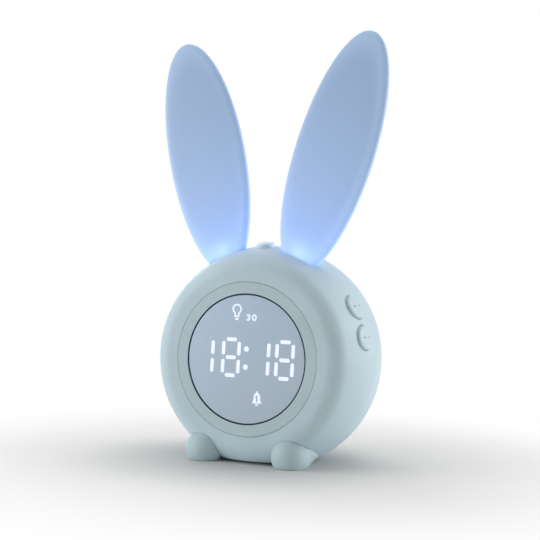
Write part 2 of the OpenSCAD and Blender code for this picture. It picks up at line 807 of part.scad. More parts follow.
// A square switch with the bore that its pin slides in.
module switch_case(spread) {
    w = key_board_w(spread);
    translate([key_tip_s * sin(spread), 0, w]) difference() {
        translate([-switch_w / 2, -switch_w / 2, 0]) cube([switch_w, switch_w, switch_h]);
        translate([0, 0, switch_h - plunger_in - key_travel - 0.2])
            cylinder(r = plunger_r + 0.08, h = plunger_in + key_travel + over);
    }
}

module key_board(half_u, spread) {
    w = key_board_w(spread);
    difference() {
        block([-half_u, -key_board_front, w - board_t], [half_u, key_board_back, w]);
        key_board_bosses(small_screw_r + shank_gap, w - board_t - over, w + over);
    }
}

key_colour = [0.76, 0.88, 0.90];

module top_key() color(key_colour) in_ball() at_key(top_key_angle) key(top_key_r, top_key_proud);
module side_key(angle) color(key_colour) in_ball() at_key(angle) key(side_key_r, side_key_proud);
module right_upper_key() side_key(upper_key_angle);
module right_lower_key() side_key(lower_key_angle);

// A child's x axis runs down the side of the ball, so the upper key's pin stands at minus x.
module side_board_frame() in_ball() at_key(mid_key_angle) children();

module top_plunger() color("white") in_ball() at_key(top_key_angle) plunger(0);
module right_upper_plunger() color("white") side_board_frame() plunger(-key_spread);
module right_lower_plunger() color("white") side_board_frame() plunger(key_spread);

module key_switches() color([0.15, 0.15, 0.16]) {
    in_ball() at_key(top_key_angle) switch_case(0);
    for (spread = [-key_spread, key_spread]) side_board_frame() switch_case(spread);
}

module top_key_board() color([0.10, 0.32, 0.20]) in_ball() at_key(top_key_angle) key_board(top_board_u, 0);
module right_key_board() color([0.10, 0.32, 0.20]) side_board_frame() key_board(side_board_u, key_spread);

module board_screws(spread) {
    for (u = key_screw_u) translate([u, key_screw_v, key_board_w(spread) - board_t]) rotate([180, 0, 0])
        screw(small_screw_r, board_t + small_bite, small_head_r, small_head_t);
}

module key_board_screws() color([0.62, 0.63, 0.65]) {
    in_ball() at_key(top_key_angle) board_screws(0);
    side_board_frame() board_screws(key_spread);
}

// ---------------------------------------------------------------- feet

// Half section of a paw along its axis: a round toe, a tapering body and a small round heel.
module paw_section() {
    lean = asin((toe_r - heel_r) / foot_length);
    polygon([
        [0, 0], [toe_r * cos(lean), toe_r * sin(lean)],
        [heel_r * cos(lean), foot_length + heel_r * sin(lean)], [0, foot_length]
    ]);
    intersection() {
        union() {
            circle(toe_r);
            translate([0, foot_length]) circle(heel_r);
        }
        translate([0, -toe_r]) square([toe_r, foot_length + 2 * toe_r]);
    }
}

module paw() {
    ground = -ball_z;
    difference() {
        translate([foot_x, -foot_forward, ground + foot_axis_z]) rotate([0, 0, foot_turn])
            rotate([foot_rise - 90, 0, 0]) rotate_extrude() paw_section();
        block([-ball_r, -2 * ball_r, ground - toe_r], [2 * ball_r, ball_r, ground]);
        ball_solid(-soft);
        translate([foot_screw_x, -foot_screw_forward, ground]) {
            rod_z(case_screw_r + shank_gap, 0, 0, -over, ball_r);
            rod_z(case_head_r + head_gap, 0, 0, -over, foot_screw_seat);
        }
    }
}

module left_foot() color([0.76, 0.88, 0.90]) in_ball() mirror([1, 0, 0]) paw();
module right_foot() color([0.76, 0.88, 0.90]) in_ball() paw();

module foot_screws() color([0.62, 0.63, 0.65]) in_ball() both_sides()
    translate([foot_screw_x, -foot_screw_forward, -ball_z + foot_screw_seat]) rotate([180, 0, 0])
        screw(case_screw_r, foot_column_top + ball_z - foot_screw_seat - 2, case_head_r, case_head_t);

module rear_pads() color([0.55, 0.58, 0.60]) in_ball() both_sides()
    rod_z(pad_d / 2, pad_x, pad_y, -ball_z, base_z + pad_recess - 0.05);

// ---------------------------------------------------------------- inside

module main_board() color([0.10, 0.32, 0.20]) in_ball() difference() {
    block([-main_w / 2, main_y, main_z - main_h / 2], [main_w / 2, main_y + board_t, main_z + main_h / 2]);
    rear_screw_holes();
}

module main_board_screws() color([0.62, 0.63, 0.65]) in_ball()
    for (x = [-1, 1]) for (z = [-1, 1])
        translate([x * main_screw_x, main_y, main_z + z * main_screw_z]) rotate([90, 0, 0])
            screw(small_screw_r, board_t + small_bite, small_head_r, small_head_t);

module controller_chip() color([0.13, 0.13, 0.14]) in_ball()
    block([-chip_w / 2, main_y - chip_t, main_z - chip_w / 2], [chip_w / 2, main_y, main_z + chip_w / 2]);

// A wire connector on the main board: an open box with thin walls.
module connector(x, z) {
    half = [connector_w / 2, 0, connector_d / 2];
    rim = [connector_wall, 0, connector_wall];
    translate([x, main_y, z]) difference() {
        block(-half - [0, connector_h, 0], half);
        block(rim - half - [0, connector_h + over, 0], half - rim - [0, connector_wall, 0]);
    }
}

module board_connectors() color([0.93, 0.91, 0.84]) in_ball() {
    for (x = [-1, 1]) for (z = [-1, 1]) connector(x * main_w / 4, main_z + z * main_h / 4);
}

module usb_socket() color([0.72, 0.73, 0.75]) in_ball() difference() {
    translate([0, usb_mouth_y - usb_l, usb_z]) facing_back() linear_extrude(usb_l) usb_outline(0);
    translate([0, usb_mouth_y - usb_l + 1.2, usb_z]) facing_back() linear_extrude(usb_l) difference() {
        usb_outline(-0.3);
        translate([-3.3, -0.35]) square([6.6, 0.7]);
    }
}

module usb_board() color([0.10, 0.32, 0.20]) in_ball() difference() {
    block([-usb_board_w / 2, usb_mouth_y - usb_board_l, usb_board_top - board_t],
          [usb_board_w / 2, usb_mouth_y - usb_lip, usb_board_top]);
    rear_screw_holes();
}

module usb_board_screws() color([0.62, 0.63, 0.65]) in_ball() both_sides()
    translate([usb_screw_x, usb_screw_y, usb_board_top])
        screw(small_screw_r, board_t + small_bite, small_head_r, small_head_t);

module battery_cell() color([0.35, 0.55, 0.80]) in_ball()
    translate([-cell_l / 2, cell_y, cell_z]) rotate([0, 90, 0]) rotate_extrude() {
        rim = 0.8;
        translate([0, 0]) square([cell_d / 2 - rim, cell_l - 1.5]);
        translate([0, rim]) square([cell_d / 2, cell_l - 1.5 - 2 * rim]);
        for (z = [rim, cell_l - 1.5 - rim]) translate([cell_d / 2 - rim, z]) circle(rim);
        square([3, cell_l]);
    }

module battery_strap() color([0.85, 0.86, 0.86]) in_ball() translate([0, cell_y, cell_z]) difference() {
    union() {
        rotate([0, 90, 0]) cylinder(r = cell_d / 2 + soft + strap_t, h = strap_w, center = true);
        block([-strap_w / 2, -strap_reach, 0], [strap_w / 2, strap_reach, strap_t]);
    }
    rotate([0, 90, 0]) cylinder(r = cell_d / 2 + soft, h = cell_l, center = true);
    block([-strap_w, -cell_d, -cell_d], [strap_w, cell_d, 0]);
    for (side = [-1, 1]) rod_z(small_screw_r + shank_gap, 0, side * strap_screw_y, -over, strap_t + over);
}

module strap_screws() color([0.62, 0.63, 0.65]) in_ball()
    for (side = [-1, 1]) translate([0, cell_y + side * strap_screw_y, cell_z + strap_t])
        screw(small_screw_r, strap_t + small_bite, small_head_r, small_head_t);

// The speaker, drawn with z pointing back and its rim's outer face at z = 0.
module speaker_place() in_ball() translate([0, speaker_y + speaker_rim_t, speaker_z]) facing_back()
    children();

magnet_r = 9;
magnet_t = 5;

module speaker_frame() color([0.25, 0.26, 0.28]) speaker_place() rotate_extrude() {
    depth = speaker_depth - magnet_t;
    polygon([
        [speaker_r, 0], [speaker_r, -speaker_rim_t], [speaker_r - 3, -speaker_rim_t],
        [magnet_r + 1, -depth], [3, -depth], [3, -depth + 1.2], [magnet_r, -depth + 1.2],
        [speaker_r - 4.4, -speaker_rim_t + 0.2],
        [speaker_r - 3, 0]
    ]);
}

cone_r = speaker_r - 3.2;
surround_w = 2.8;
dome_r = 2.5;

module speaker_cone() color([0.12, 0.12, 0.13]) speaker_place() rotate_extrude() polygon([
    [cone_r, 0.1], [cone_r, 0.5], [cone_r - surround_w / 2, 0.9], [cone_r - surround_w, 0.4],
    [2 * dome_r, -4.4], [dome_r, -3.4], [0, -3], [0, -3.4], [dome_r, -3.8], [2 * dome_r, -5],
    [cone_r - surround_w + 0.2, 0], [cone_r - surround_w / 2, 0.4]
]);

module speaker_magnet() color([0.40, 0.41, 0.43]) speaker_place()
    translate([0, 0, -speaker_depth]) cylinder(r = magnet_r, h = magnet_t);

module speaker_screws() color([0.62, 0.63, 0.65]) speaker_place()
    for (angle = speaker_screw_angles)
        translate([speaker_screw_r * cos(angle), -speaker_screw_r * sin(angle), -speaker_rim_t])
            rotate([180, 0, 0]) screw(small_screw_r, speaker_rim_t + speaker_bite, small_head_r + 0.9, 1.2);

// ---------------------------------------------------------------- assembly

front_shell();
rear_shell();
face_ring();
mirror_lens();
diffuser_film();
light_block();
display_board();
display_leds();
display_screws();
left_ear();
right_ear();
ear_screws();
ear_light_boards();
ear_leds();
ear_board_screws();
top_key();
right_upper_key();
right_lower_key();
top_plunger();
right_upper_plunger();
right_lower_plunger();
key_switches();
top_key_board();
right_key_board();
key_board_screws();
left_foot();
right_foot();
foot_screws();
rear_pads();
main_board();
main_board_screws();
controller_chip();
board_connectors();
usb_socket();
usb_board();
usb_board_screws();
battery_cell();
battery_strap();
strap_screws();
speaker_frame();
speaker_cone();
speaker_magnet();
speaker_screws();
case_screws();
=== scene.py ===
"""Looks of a ball-shaped bedside alarm clock with glowing ears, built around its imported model.

Metres, +Z up, the display faces -Y. Lengths in the sub-assemblies are millimetres from the ball's
centre, the way the case is drawn, and `Ball.point` turns them into metres in the model's frame.
"""

import json
import logging
import math
from dataclasses import dataclass
from enum import Enum
from typing import Any, Callable, Iterable, Sequence

import bmesh
import bpy
from mathutils import Matrix, Vector

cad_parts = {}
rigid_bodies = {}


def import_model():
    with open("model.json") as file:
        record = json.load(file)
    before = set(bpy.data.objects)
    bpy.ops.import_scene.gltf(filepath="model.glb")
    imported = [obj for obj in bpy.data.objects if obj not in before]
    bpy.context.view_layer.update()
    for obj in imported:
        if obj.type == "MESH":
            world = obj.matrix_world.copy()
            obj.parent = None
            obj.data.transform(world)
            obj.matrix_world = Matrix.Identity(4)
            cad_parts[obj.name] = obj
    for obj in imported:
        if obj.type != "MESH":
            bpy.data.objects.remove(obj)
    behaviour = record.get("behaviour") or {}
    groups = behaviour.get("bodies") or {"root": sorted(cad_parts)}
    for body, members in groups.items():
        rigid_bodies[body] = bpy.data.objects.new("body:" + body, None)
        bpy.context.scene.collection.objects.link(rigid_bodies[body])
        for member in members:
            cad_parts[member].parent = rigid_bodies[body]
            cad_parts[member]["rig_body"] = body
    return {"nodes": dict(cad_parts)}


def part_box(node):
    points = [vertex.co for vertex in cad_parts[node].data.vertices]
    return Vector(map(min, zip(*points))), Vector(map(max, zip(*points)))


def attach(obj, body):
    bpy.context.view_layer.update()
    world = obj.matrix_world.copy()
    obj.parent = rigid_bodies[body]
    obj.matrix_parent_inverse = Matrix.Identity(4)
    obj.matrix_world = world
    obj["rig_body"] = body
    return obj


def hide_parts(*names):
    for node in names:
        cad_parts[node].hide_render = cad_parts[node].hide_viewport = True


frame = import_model()

LOG = logging.getLogger("clock")
MM = 0.001
FLAT_STRIP = 0.06  # flat kept beside a rounded corner, in millimetres
ARC_STEPS = 5  # steps round a rounded corner
WHITE = (1, 1, 1, 1)
GRAIN = (2600, 3, 0.62)  # a plastic's grain: waves per metre, octaves, how strong the finer are
SMEAR = (420, 3, 0.6)  # a polished face's smears, likewise
STREAK = (900, 4, 0.7)  # a metal's turning lines, likewise
CLOUD_DETAIL = 2  # octaves of every soft cloud
EXACT = 1e-7  # metres, less than any detail
SEAM_REACH = 1e-6  # metres within which the two ends of a turned piece join
MERGE_REACH = 2e-6  # metres within which a node's loose corners join

Colour = tuple[float, float, float]
Point = tuple[float, float, float]
Corner = tuple[float, float, float]
Flat = tuple[float, float]
Inputs = dict[str | int, Any] | None
Material = bpy.types.Material
Mesh = bpy.types.Mesh
Socket = bpy.types.NodeSocket


def srgb(red: float, green: float, blue: float) -> Colour:
    """The linear colour that shaders take, from one written in 0 to 255 steps."""
    steps = (c / 255 for c in (red, green, blue))
    return tuple(s / 12.92 if s <= 0.04045 else ((s + 0.055) / 1.055) ** 2.4 for s in steps)


def scaled(colour: Colour, factor: float) -> Colour:
    """A colour with every part of it multiplied by a factor."""
    return tuple(part * factor for part in colour)


# ------------------------------------------------------------------ node trees


class Tree:
    """A shader or geometry node tree, with one method that makes every node."""

    def __init__(self, nodes: bpy.types.NodeTree) -> None:
        """Keeps the tree that the nodes go into."""
        self.tree = nodes

    def node(self, kind: str, inputs: Inputs = None, **settings: Any) -> bpy.types.Node:
        """Makes one node.

        Args:
            kind: The node's type name.
            inputs: A Value, a socket or a plain value for each named or numbered input.
            settings: Values set on the node before its inputs.

        Returns:
            The node.
        """
        made = self.tree.nodes.new(kind)
        for key, setting in settings.items():
            setattr(made, key, setting)
        for key, given in (inputs or {}).items():
            self.feed(made.inputs[key], given)
        return made

    def feed(self, target: Socket, given: Any) -> None:
        """Links an input or sets its value.

        Args:
            target: The input.
            given: The Value or socket that it is linked to, or its plain value.
        """
        if isinstance(given, Value):
            given = given.socket
        if isinstance(given, Socket):
            self.tree.links.new(given, target)
        else:
            target.default_value = given

    def value(
        self, kind: str, inputs: Inputs = None, output: str | int = 0, **settings: Any
    ) -> "Value":
        """Makes one node the way `node` does, and gives one of its outputs."""
        return Value(self, self.node(kind, inputs, **settings).outputs[output])

    def math(self, operation: str, *numbers: Any, clamp: bool = False) -> "Value":
        """The result of a Math node, which stays between 0 and 1 where it is clamped."""
        inputs = dict(enumerate(numbers))
        return self.value("ShaderNodeMath", inputs, operation=operation, use_clamp=clamp)

    def folded(self, operation: str, values: Iterable["Value"]) -> "Value":
        """Joins values one after the other by the same operation.

        Args:
            operation: The Math node's operation.
            values: The values.

        Returns:
            What they come to.
        """
        total, *rest = values
        for value in rest:
            total = self.math(operation, total, value)
        return total

    def length(self, *parts: "Value") -> "Value":
        """The length of a vector with these parts."""
        return self.math("SQRT", self.folded("ADD", (part * part for part in parts)))

    def split(self, vector: Any) -> list["Value"]:
        """The three parts of a vector."""
        parts = self.node("ShaderNodeSeparateXYZ", {0: vector}).outputs
        return [Value(self, part) for part in parts]

    def vector(self, x: Any, y: Any, z: Any) -> "Value":
        """A vector with these three parts."""
        return self.value("ShaderNodeCombineXYZ", {0: x, 1: y, 2: z})

    def rays(self, *kinds: str) -> "Value":
        """1 for rays of any of these kinds, and 0 for others."""
        path = self.node("ShaderNodeLightPath").outputs
        return self.folded("MAXIMUM", (Value(self, path[f"Is {kind} Ray"]) for kind in kinds))

    def blend(self, share: "Value", first: Any, second: Any) -> "Value":
        """Two shaders mixed, the share being that of the second one."""
        return self.value("ShaderNodeMixShader", {0: share, 1: first, 2: second})


def by_math(operation: str, swapped: bool = False) -> Callable[..., "Value"]:
    """Makes one of Python's operators out of a Math node's operation.

    Args:
        operation: The node's operation.
        swapped: Whether the other number comes first.

    Returns:
        The operator's method.
    """

    def method(value: "Value", *others: Any) -> "Value":
        """Feeds the numbers to a new Math node."""
        numbers = (*others, value) if swapped else (value, *others)
        return value.tree.math(operation, *numbers)

    return method


@dataclass(frozen=True)
class Value:
    """What a node gives, with Python's operators for numbers."""

    tree: Tree
    socket: Socket

    __add__ = __radd__ = by_math("ADD")
    __sub__ = by_math("SUBTRACT")
    __rsub__ = by_math("SUBTRACT", swapped=True)
    __mul__ = __rmul__ = by_math("MULTIPLY")
    __truediv__ = by_math("DIVIDE")
    __abs__ = by_math("ABSOLUTE")
    exp = by_math("EXPONENT")

    def clamped(self) -> "Value":
        """The value kept between 0 and 1."""
        return self.tree.math("ADD", self, 0.0, clamp=True)

    def step(self, low: float, high: float) -> "Value":
        """A smooth step that rises from 0 at the low value to 1 at the high one."""
        ends = {"Value": self, "From Min": low, "From Max": high}
        return self.tree.value("ShaderNodeMapRange", ends, interpolation_type="SMOOTHSTEP")


class Shader(Tree):
    """A material's node tree with one Principled shader."""

    def __init__(self, name: str) -> None:
        """Makes a material with nothing but the shader.

        Args:
            name: The material's name.
        """
        self.material = bpy.data.materials.new(name)
        self.material.use_nodes = True
        super().__init__(self.material.node_tree)
        self.tree.nodes.clear()
        self.principled = self.node("ShaderNodeBsdfPrincipled")
        plain = {"Surface": self.principled.outputs[0]}
        self.surface = self.node("ShaderNodeOutputMaterial", plain).inputs["Surface"]
        self.place = self.node("ShaderNodeTexCoord").outputs["Object"]

    def set(self, **sockets: Any) -> None:
        """Feeds the shader's sockets, an underscore standing for a space."""
        for key, given in sockets.items():
            self.feed(self.principled.inputs[key.replace("_", " ")], given)

    def noise(self, scale: float, detail: float, roughness: float = 0.5) -> Value:
        """Noise from 0 to 1: waves per metre, octaves and how strong the finer octaves are."""
        inputs = {"Vector": self.place, "Scale": scale, "Detail": detail, "Roughness": roughness}
        return self.value("ShaderNodeTexNoise", inputs)

    def mix(self, share: Any, low: Any, high: Any, blend: str = "MIX") -> Value:
        """Two colours mixed, the share being that of the second one."""
        low, high = ((*c, 1) if isinstance(c, tuple) else c for c in (low, high))
        inputs = {0: share, 6: low, 7: high}
        return self.value("ShaderNodeMix", inputs, 2, data_type="RGBA", blend_type=blend)

    def bump(self, height: Value, strength: float, distance: float) -> None:
        """Puts a height on the normal, with the metres that a height of 1 stands for."""
        inputs = {"Height": height, "Strength": strength, "Distance": distance}
        self.set(Normal=self.value("ShaderNodeBump", inputs))

    def axes(self) -> list[Value]:
        """The three object coordinates, in metres."""
        return self.split(self.place)

    def radius(self, centre_z: float) -> Value:
        """The distance from the display's axis, which runs along Y at that height."""
        x, _, z = self.axes()
        return self.length(x, z - centre_z)


# ------------------------------------------------------------------ finishes


@dataclass(frozen=True)
class Moulded:
    """Injection-moulded plastic with a fine spark-eroded grain."""

    name: str
    colour: Colour
    roughness: float = 0.55
    grain: float = 0.00003
    grain_scale: float = GRAIN[0]
    grain_gloss: float = 0.12
    cloud_scale: float = 38
    cloud_gloss: float = 0.06
    mottle: float = 0.03
    mottle_fade: Flat = (0.3, 0.75)
    specular: float = 0.35

    def material(self) -> Material:
        """Builds the plastic's material.

        Returns:
            The material.
        """
        shader = Shader(self.name)
        shader.set(Base_Color=self._skin(shader))
        return shader.material

    def _skin(self, shader: Shader) -> Value:
        """Gives a shader the plastic's gloss and grain.

        Args:
            shader: The shader.

        Returns:
            The plastic's slightly uneven colour.
        """
        cloud = shader.noise(self.cloud_scale, CLOUD_DETAIL)
        grain = shader.noise(self.grain_scale, *GRAIN[1:])
        least = self.roughness - (self.grain_gloss + self.cloud_gloss) / 2
        shader.set(
            Roughness=grain * self.grain_gloss + (cloud * self.cloud_gloss + least),
            Specular_IOR_Level=self.specular,
        )
        shader.bump(grain, 0.6, self.grain)
        darker = scaled(self.colour, 1 - 2 * self.mottle)
        return shader.mix(cloud.step(*self.mottle_fade), self.colour, darker)


@dataclass(frozen=True)
class ShadedBoreRing(Moulded):
    """The same plastic as a ring whose bore is darkened by painted shade, for the shade in the gap
    round the lens.
    """

    bore_shade: Colour = (0.02, 0.03, 0.06)
    bore_shade_edge: Flat = (0.00002, 0.00012)

    def ring_material(self, centre_z: float, bore: float) -> Material:
        """Builds the ring's material.

        Args:
            centre_z: Height of the ring's middle, in metres.
            bore: Radius of the bore, in metres.

        Returns:
            The material.
        """
        shader = Shader(self.name)
        # Painted shade: the bore is dark, for the shade in the gap round the lens.
        outside = shader.radius(centre_z).step(*(bore + edge for edge in self.bore_shade_edge))
        shader.set(Base_Color=shader.mix(outside, self.bore_shade, self._skin(shader)))
        return shader.material


@dataclass(frozen=True)
class Metal:
    """Plated or painted metal with fine turning lines."""

    name: str
    colour: Colour
    roughness: float = 0.3
    metallic: float = 1.0
    cloud_scale: float = 160
    depth: float = 0.00002

    def material(self) -> Material:
        """Builds the metal's material.

        Returns:
            The material.
        """
        shader = Shader(self.name)
        streak = shader.noise(*STREAK)
        cloud = shader.noise(self.cloud_scale, CLOUD_DETAIL)
        shader.set(
            Base_Color=shader.mix(cloud, self.colour, scaled(self.colour, 0.82)),
            Metallic=self.metallic,
            Roughness=streak * 0.25 + (self.roughness - 0.1),
        )
        shader.bump(streak, 0.35, self.depth)
        return shader.material


@dataclass(frozen=True)
class Board:
    """Glass-fibre board under solder mask, with faint copper tracks."""

    name: str
    colour: Colour
    weave_scale: float = 4200
    track_scale: float = 1300
    track_edge: Flat = (0.86, 0.93)
    patch_scale: float = 90
    patch_edge: Flat = (0.48, 0.56)
    depth: float = 0.00003

    def material(self) -> Material:
        """Builds the board's material.

        Returns:
            The material.
        """
        shader = Shader(self.name)
        x, y, z = shader.axes()
        warp, weft = (shader.math("SINE", axis * self.weave_scale) for axis in (x, z))
        wave = abs(shader.math("SINE", (x + z + y) * self.track_scale))
        patch = shader.noise(self.patch_scale, 0).step(*self.patch_edge)
        lines = wave.step(*self.track_edge) * patch
        lighter = tuple(min(1, c * 1.9 + 0.01) for c in self.colour)
        shader.set(
            Base_Color=shader.mix(lines, self.colour, lighter),
            Roughness=warp * weft * 0.05 + 0.32,
            Coat_Weight=0.4,
        )
        shader.bump(lines, 0.5, self.depth)
        return shader.material


@dataclass(frozen=True)
class HalfMirror:
    """Half-silvered acrylic: a pale grey-lavender face with a painted reflection, lighter towards
    the top and the left, and dark round its sides with painted shade.
    """

    name: str
    high: Colour
    low: Colour
    # Painted shade: the lens's sides are dark, for the shade in the gap round the lens.
    side: Colour
    # Painted reflection: the face is lighter towards the top and the left.
    reflection_rise_share: float = 0.4
    reflection_left_share: float = 0.25
    haze_scale: float = 24
    haze_share: float = 0.12
    side_shade_edge: Flat = (0.9965, 0.9995)
    smear_depth: float = 0.000008

    def material(self, centre_z: float, radius: float) -> Material:
        """Builds the lens's material.

        Args:
            centre_z: Height of the lens's middle, in metres.
            radius: The lens's radius, in metres.

        Returns:
            The material.
        """
        shader = Shader(self.name)
        x, _, z = shader.axes()
        out = shader.radius(centre_z) / radius
        haze = shader.noise(self.haze_scale, CLOUD_DETAIL)
        smear = shader.noise(*SMEAR)
        # Painted reflection: lighter towards the top and the left, where the lamps are.
        rise = ((z - centre_z) * self.reflection_rise_share - x * self.reflection_left_share) / radius + 0.5
        height = (rise + (haze - 0.5) * self.haze_share).clamped()
        face = shader.mix(height, self.low, self.high)
        shader.set(
            # The sides take the painted shade and the face the painted reflection.
            Base_Color=shader.mix(out.step(*self.side_shade_edge), face, self.side),
            Metallic=0.25,
            Roughness=smear * 0.1 + 0.26,
            Coat_Weight=0.4,
            Coat_Roughness=0.08,
        )
        shader.bump(smear, 0.2, self.smear_depth)
        return shader.material


@dataclass(frozen=True)
class Lit:
    """Film lit from behind, a little uneven over each stroke."""

    name: str
    colour: Colour
    strength: float
    film: Colour = (0.3, 0.32, 0.37)
    patch_scale: float = 700

    def material(self) -> Material:
        """Builds the lit film's material.

        Returns:
            The material.
        """
        shader = Shader(self.name)
        uneven = shader.noise(self.patch_scale, 1)
        shader.set(
            Base_Color=shader.mix(uneven, self.film, scaled(self.film, 0.9)),
            Emission_Color=shader.mix(uneven, scaled(self.colour, 0.93), self.colour),
            Emission_Strength=self.strength,
            Roughness=0.6,
        )
        return shader.material


@dataclass(frozen=True)
class GlowingMilk:
    """Milky plastic lit from a chip at its root, fading along its length, with a painted highlight
    round its rim.
    """

    name: str
    body: Colour
    tip: Colour
    ambient: Colour
    haze: Colour
    spot: Colour
    # Painted highlight: the colour of a brighter rim round each ear's edge.
    edge: Colour
    deep: Colour
    haze_length: float = 0.024
    spot_radius: float = 0.006
    line_width: float = 0.0016
    cloud_scale: float = 30
    rim: Flat = (0.72, 1.0)
    tip_fade: Flat = (-0.6, 0.9)
    inner_fade: Flat = (0.1, 0.9)

    def material(self, ears: "Ears") -> Material:
        """Builds the ears' material, the same on both sides of the clock.

        Args:
            ears: The ears, which give the right one's place.

        Returns:
            The material.
        """
        shader = Shader(self.name)
        x, y, z = shader.axes()
        root, middle = ears.root()
        place, centre = ears.ball.point(*root), ears.ball.centre
        local = (abs(x) - place.x, y - place.y, z - place.z)
        along, side = (
            shader.folded("ADD", (part * share for part, share in zip(local, ears.way(*axis))))
            for axis in ((0, 0, 1), (1, 0, 0))
        )
        from_root = shader.folded("ADD", (part * part for part in local))
        aside = side / (ears.half_width * MM)
        rise = (along - middle * MM) / (ears.half_height * MM)
        oval = shader.length(aside, rise)
        height = shader.length(x, y - centre.y, z - centre.z) - ears.ball.radius
        decay, near, line = (
            (reach * -1.0 / fall).exp().clamped()
            for reach, fall in (
                (along, self.haze_length),
                (from_root, self.spot_radius**2),
                (abs(height), self.line_width),
            )
        )
        inner = (aside * -1.0).step(*self.inner_fade)
        cloud = shader.noise(self.cloud_scale, CLOUD_DETAIL)
        grain = shader.noise(*GRAIN)
        base = shader.mix(rise.step(*self.tip_fade), self.body, self.tip)
        base = shader.mix((cloud - 0.5) * 0.2 + 0.1, base, scaled(self.body, 0.88))
        glow = shader.mix(decay, self.ambient, self.haze, "ADD")
        glow = shader.mix(near, glow, self.spot, "ADD")
        # Painted highlight: glow added round the ears' rim, less on their inner side.
        glow = shader.mix(oval.step(*self.rim) * (1 - inner * 0.5), glow, self.edge, "ADD")
        glow = shader.mix(inner * decay * decay * 0.4, glow, self.deep)
        glow = shader.mix(line * (1 - near * 0.8) * 0.8, glow, self.deep)
        shader.set(
            Base_Color=base,
            Emission_Color=glow,
            Emission_Strength=1.0,
            Roughness=grain * 0.1 + 0.42,
            Specular_IOR_Level=0.35,
        )
        shader.bump(grain, 0.4, 0.00002)
        return shader.material


class Finish(Enum):
    """Every plain finish on the clock."""

    CASE = Moulded("case_plastic", srgb(200, 220, 228))
    RING = ShadedBoreRing("ring_plastic", srgb(193, 212, 218), roughness=0.5, bore_shade=srgb(66, 84, 116))
    KEY = Moulded("key_plastic", srgb(200, 219, 226), roughness=0.5)
    # Painted light: the top key is lighter than the other keys, against the ears' shadow on it.
    TOP_KEY_LIGHTENED = Moulded("top_key_painted_light", srgb(222, 236, 242), roughness=0.5)
    # Painted shade: the paws are the case's colour, painted darker.
    PAW_SHADED = Moulded("paw_painted_shade", srgb(187, 208, 213), roughness=0.5)
    # Painted shade: dark dashes that stand for the shade in the keys' engraved marks.
    MARK = Moulded("key_mark_painted_shade", srgb(92, 112, 120), roughness=0.7)
    MIRROR = HalfMirror("half_mirror", srgb(190, 208, 228), srgb(179, 195, 208), srgb(60, 76, 106))
    LIT = Lit("lit_film", (0.70, 0.75, 0.83), 1.0)
    MILK = GlowingMilk(
        "glowing_milk",
        body=srgb(179, 196, 225),
        tip=srgb(167, 186, 216),
        ambient=(0.018, 0.058, 0.10),
        haze=(0.065, 0.165, 0.53),
        spot=(0.27, 0.33, 0.42),
        edge=(0.08, 0.10, 0.11),
        deep=(0.12, 0.22, 1.0),
    )
    FILM = Moulded("diffusing_film", srgb(150, 155, 165), roughness=0.6)
    BLOCK = Moulded("light_block_plastic", srgb(30, 30, 34), roughness=0.6)
    RUBBER = Moulded("pad_rubber", srgb(178, 186, 190), roughness=0.85, grain=0.00006)
    CHIP = Moulded("chip_epoxy", srgb(28, 28, 30), roughness=0.5)
    SWITCH = Moulded("switch_plastic", srgb(32, 32, 34), roughness=0.45)
    PIN = Moulded("switch_pin", srgb(236, 236, 232), roughness=0.4)
    NYLON = Moulded("connector_nylon", srgb(238, 233, 216), roughness=0.5)
    STRAP = Moulded("strap_plastic", srgb(216, 222, 222), roughness=0.5)
    WRAP = Moulded("cell_wrap", srgb(72, 118, 186), roughness=0.25, grain=0.00001, mottle=0.06)
    CONE = Moulded("cone_paper", srgb(36, 36, 38), roughness=0.9, grain=0.00012, grain_scale=1400)
    LED = Moulded("light_chip", srgb(244, 226, 150), roughness=0.35)
    GREEN_BOARD = Board("green_board", srgb(20, 78, 46))
    WHITE_BOARD = Board("white_board", srgb(225, 228, 222))
    SCREW = Metal("screw_steel", srgb(190, 192, 196), 0.28)
    SOCKET = Metal("socket_steel", srgb(205, 207, 211), 0.22)
    BASKET = Metal("basket_paint", srgb(58, 60, 64), 0.45, 0.4)
    MAGNET = Metal("magnet_can", srgb(128, 131, 136), 0.35)


# ------------------------------------------------------------------ meshes


@dataclass(frozen=True)
class Ball:
    """The case's ball with its flat face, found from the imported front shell."""

    radius: float
    centre: Vector
    face_reach: float = 27.0
    edge_radius: float = 9.0

    @classmethod
    def measured(cls) -> "Ball":
        """Reads the ball's place from the front shell's box.

        Returns:
            The ball.
        """
        low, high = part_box("front_shell")
        radius = (high.x - low.x) / 2
        return cls(radius, Vector((0, low.y + cls.face_reach * MM, high.z - radius)))

    def point(self, x: float, y: float, z: float) -> Vector:
        """A place in millimetres from the ball's centre, in metres in the model's frame."""
        return self.centre + Vector((x, y, z)) * MM

    def plane(self, reach: float) -> Matrix:
        """A drawing plane ahead of the ball's centre: x to the right, y up, z towards the user."""
        turn = Matrix(((1, 0, 0), (0, 0, -1), (0, 1, 0))).to_4x4()
        return Matrix.Translation(self.point(0, -reach, 0)) @ turn


def linked(name: str, data: bpy.types.ID) -> bpy.types.Object:
    """Makes an object of some data and links it to the scene.

    Args:
        name: The object's name.
        data: Its mesh, lamp or camera.

    Returns:
        The object.
    """
    made = bpy.data.objects.new(name, data)
    bpy.context.scene.collection.objects.link(made)
    return made


def put(
    name: str, mesh: Mesh, material: Material, node: str
) -> bpy.types.Object:
    """Adds a finished mesh to the scene as a piece.

    Args:
        name: The piece's name.
        mesh: Its mesh, in place.
        material: Its material.
        node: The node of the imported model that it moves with.

    Returns:
        The new object.
    """
    piece = linked(name, mesh)
    paint(mesh, material)
    body = frame["nodes"][node]["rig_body"]
    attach(piece, body)
    LOG.info("%s: %d faces, rides on %s", name, len(mesh.polygons), body)
    return piece


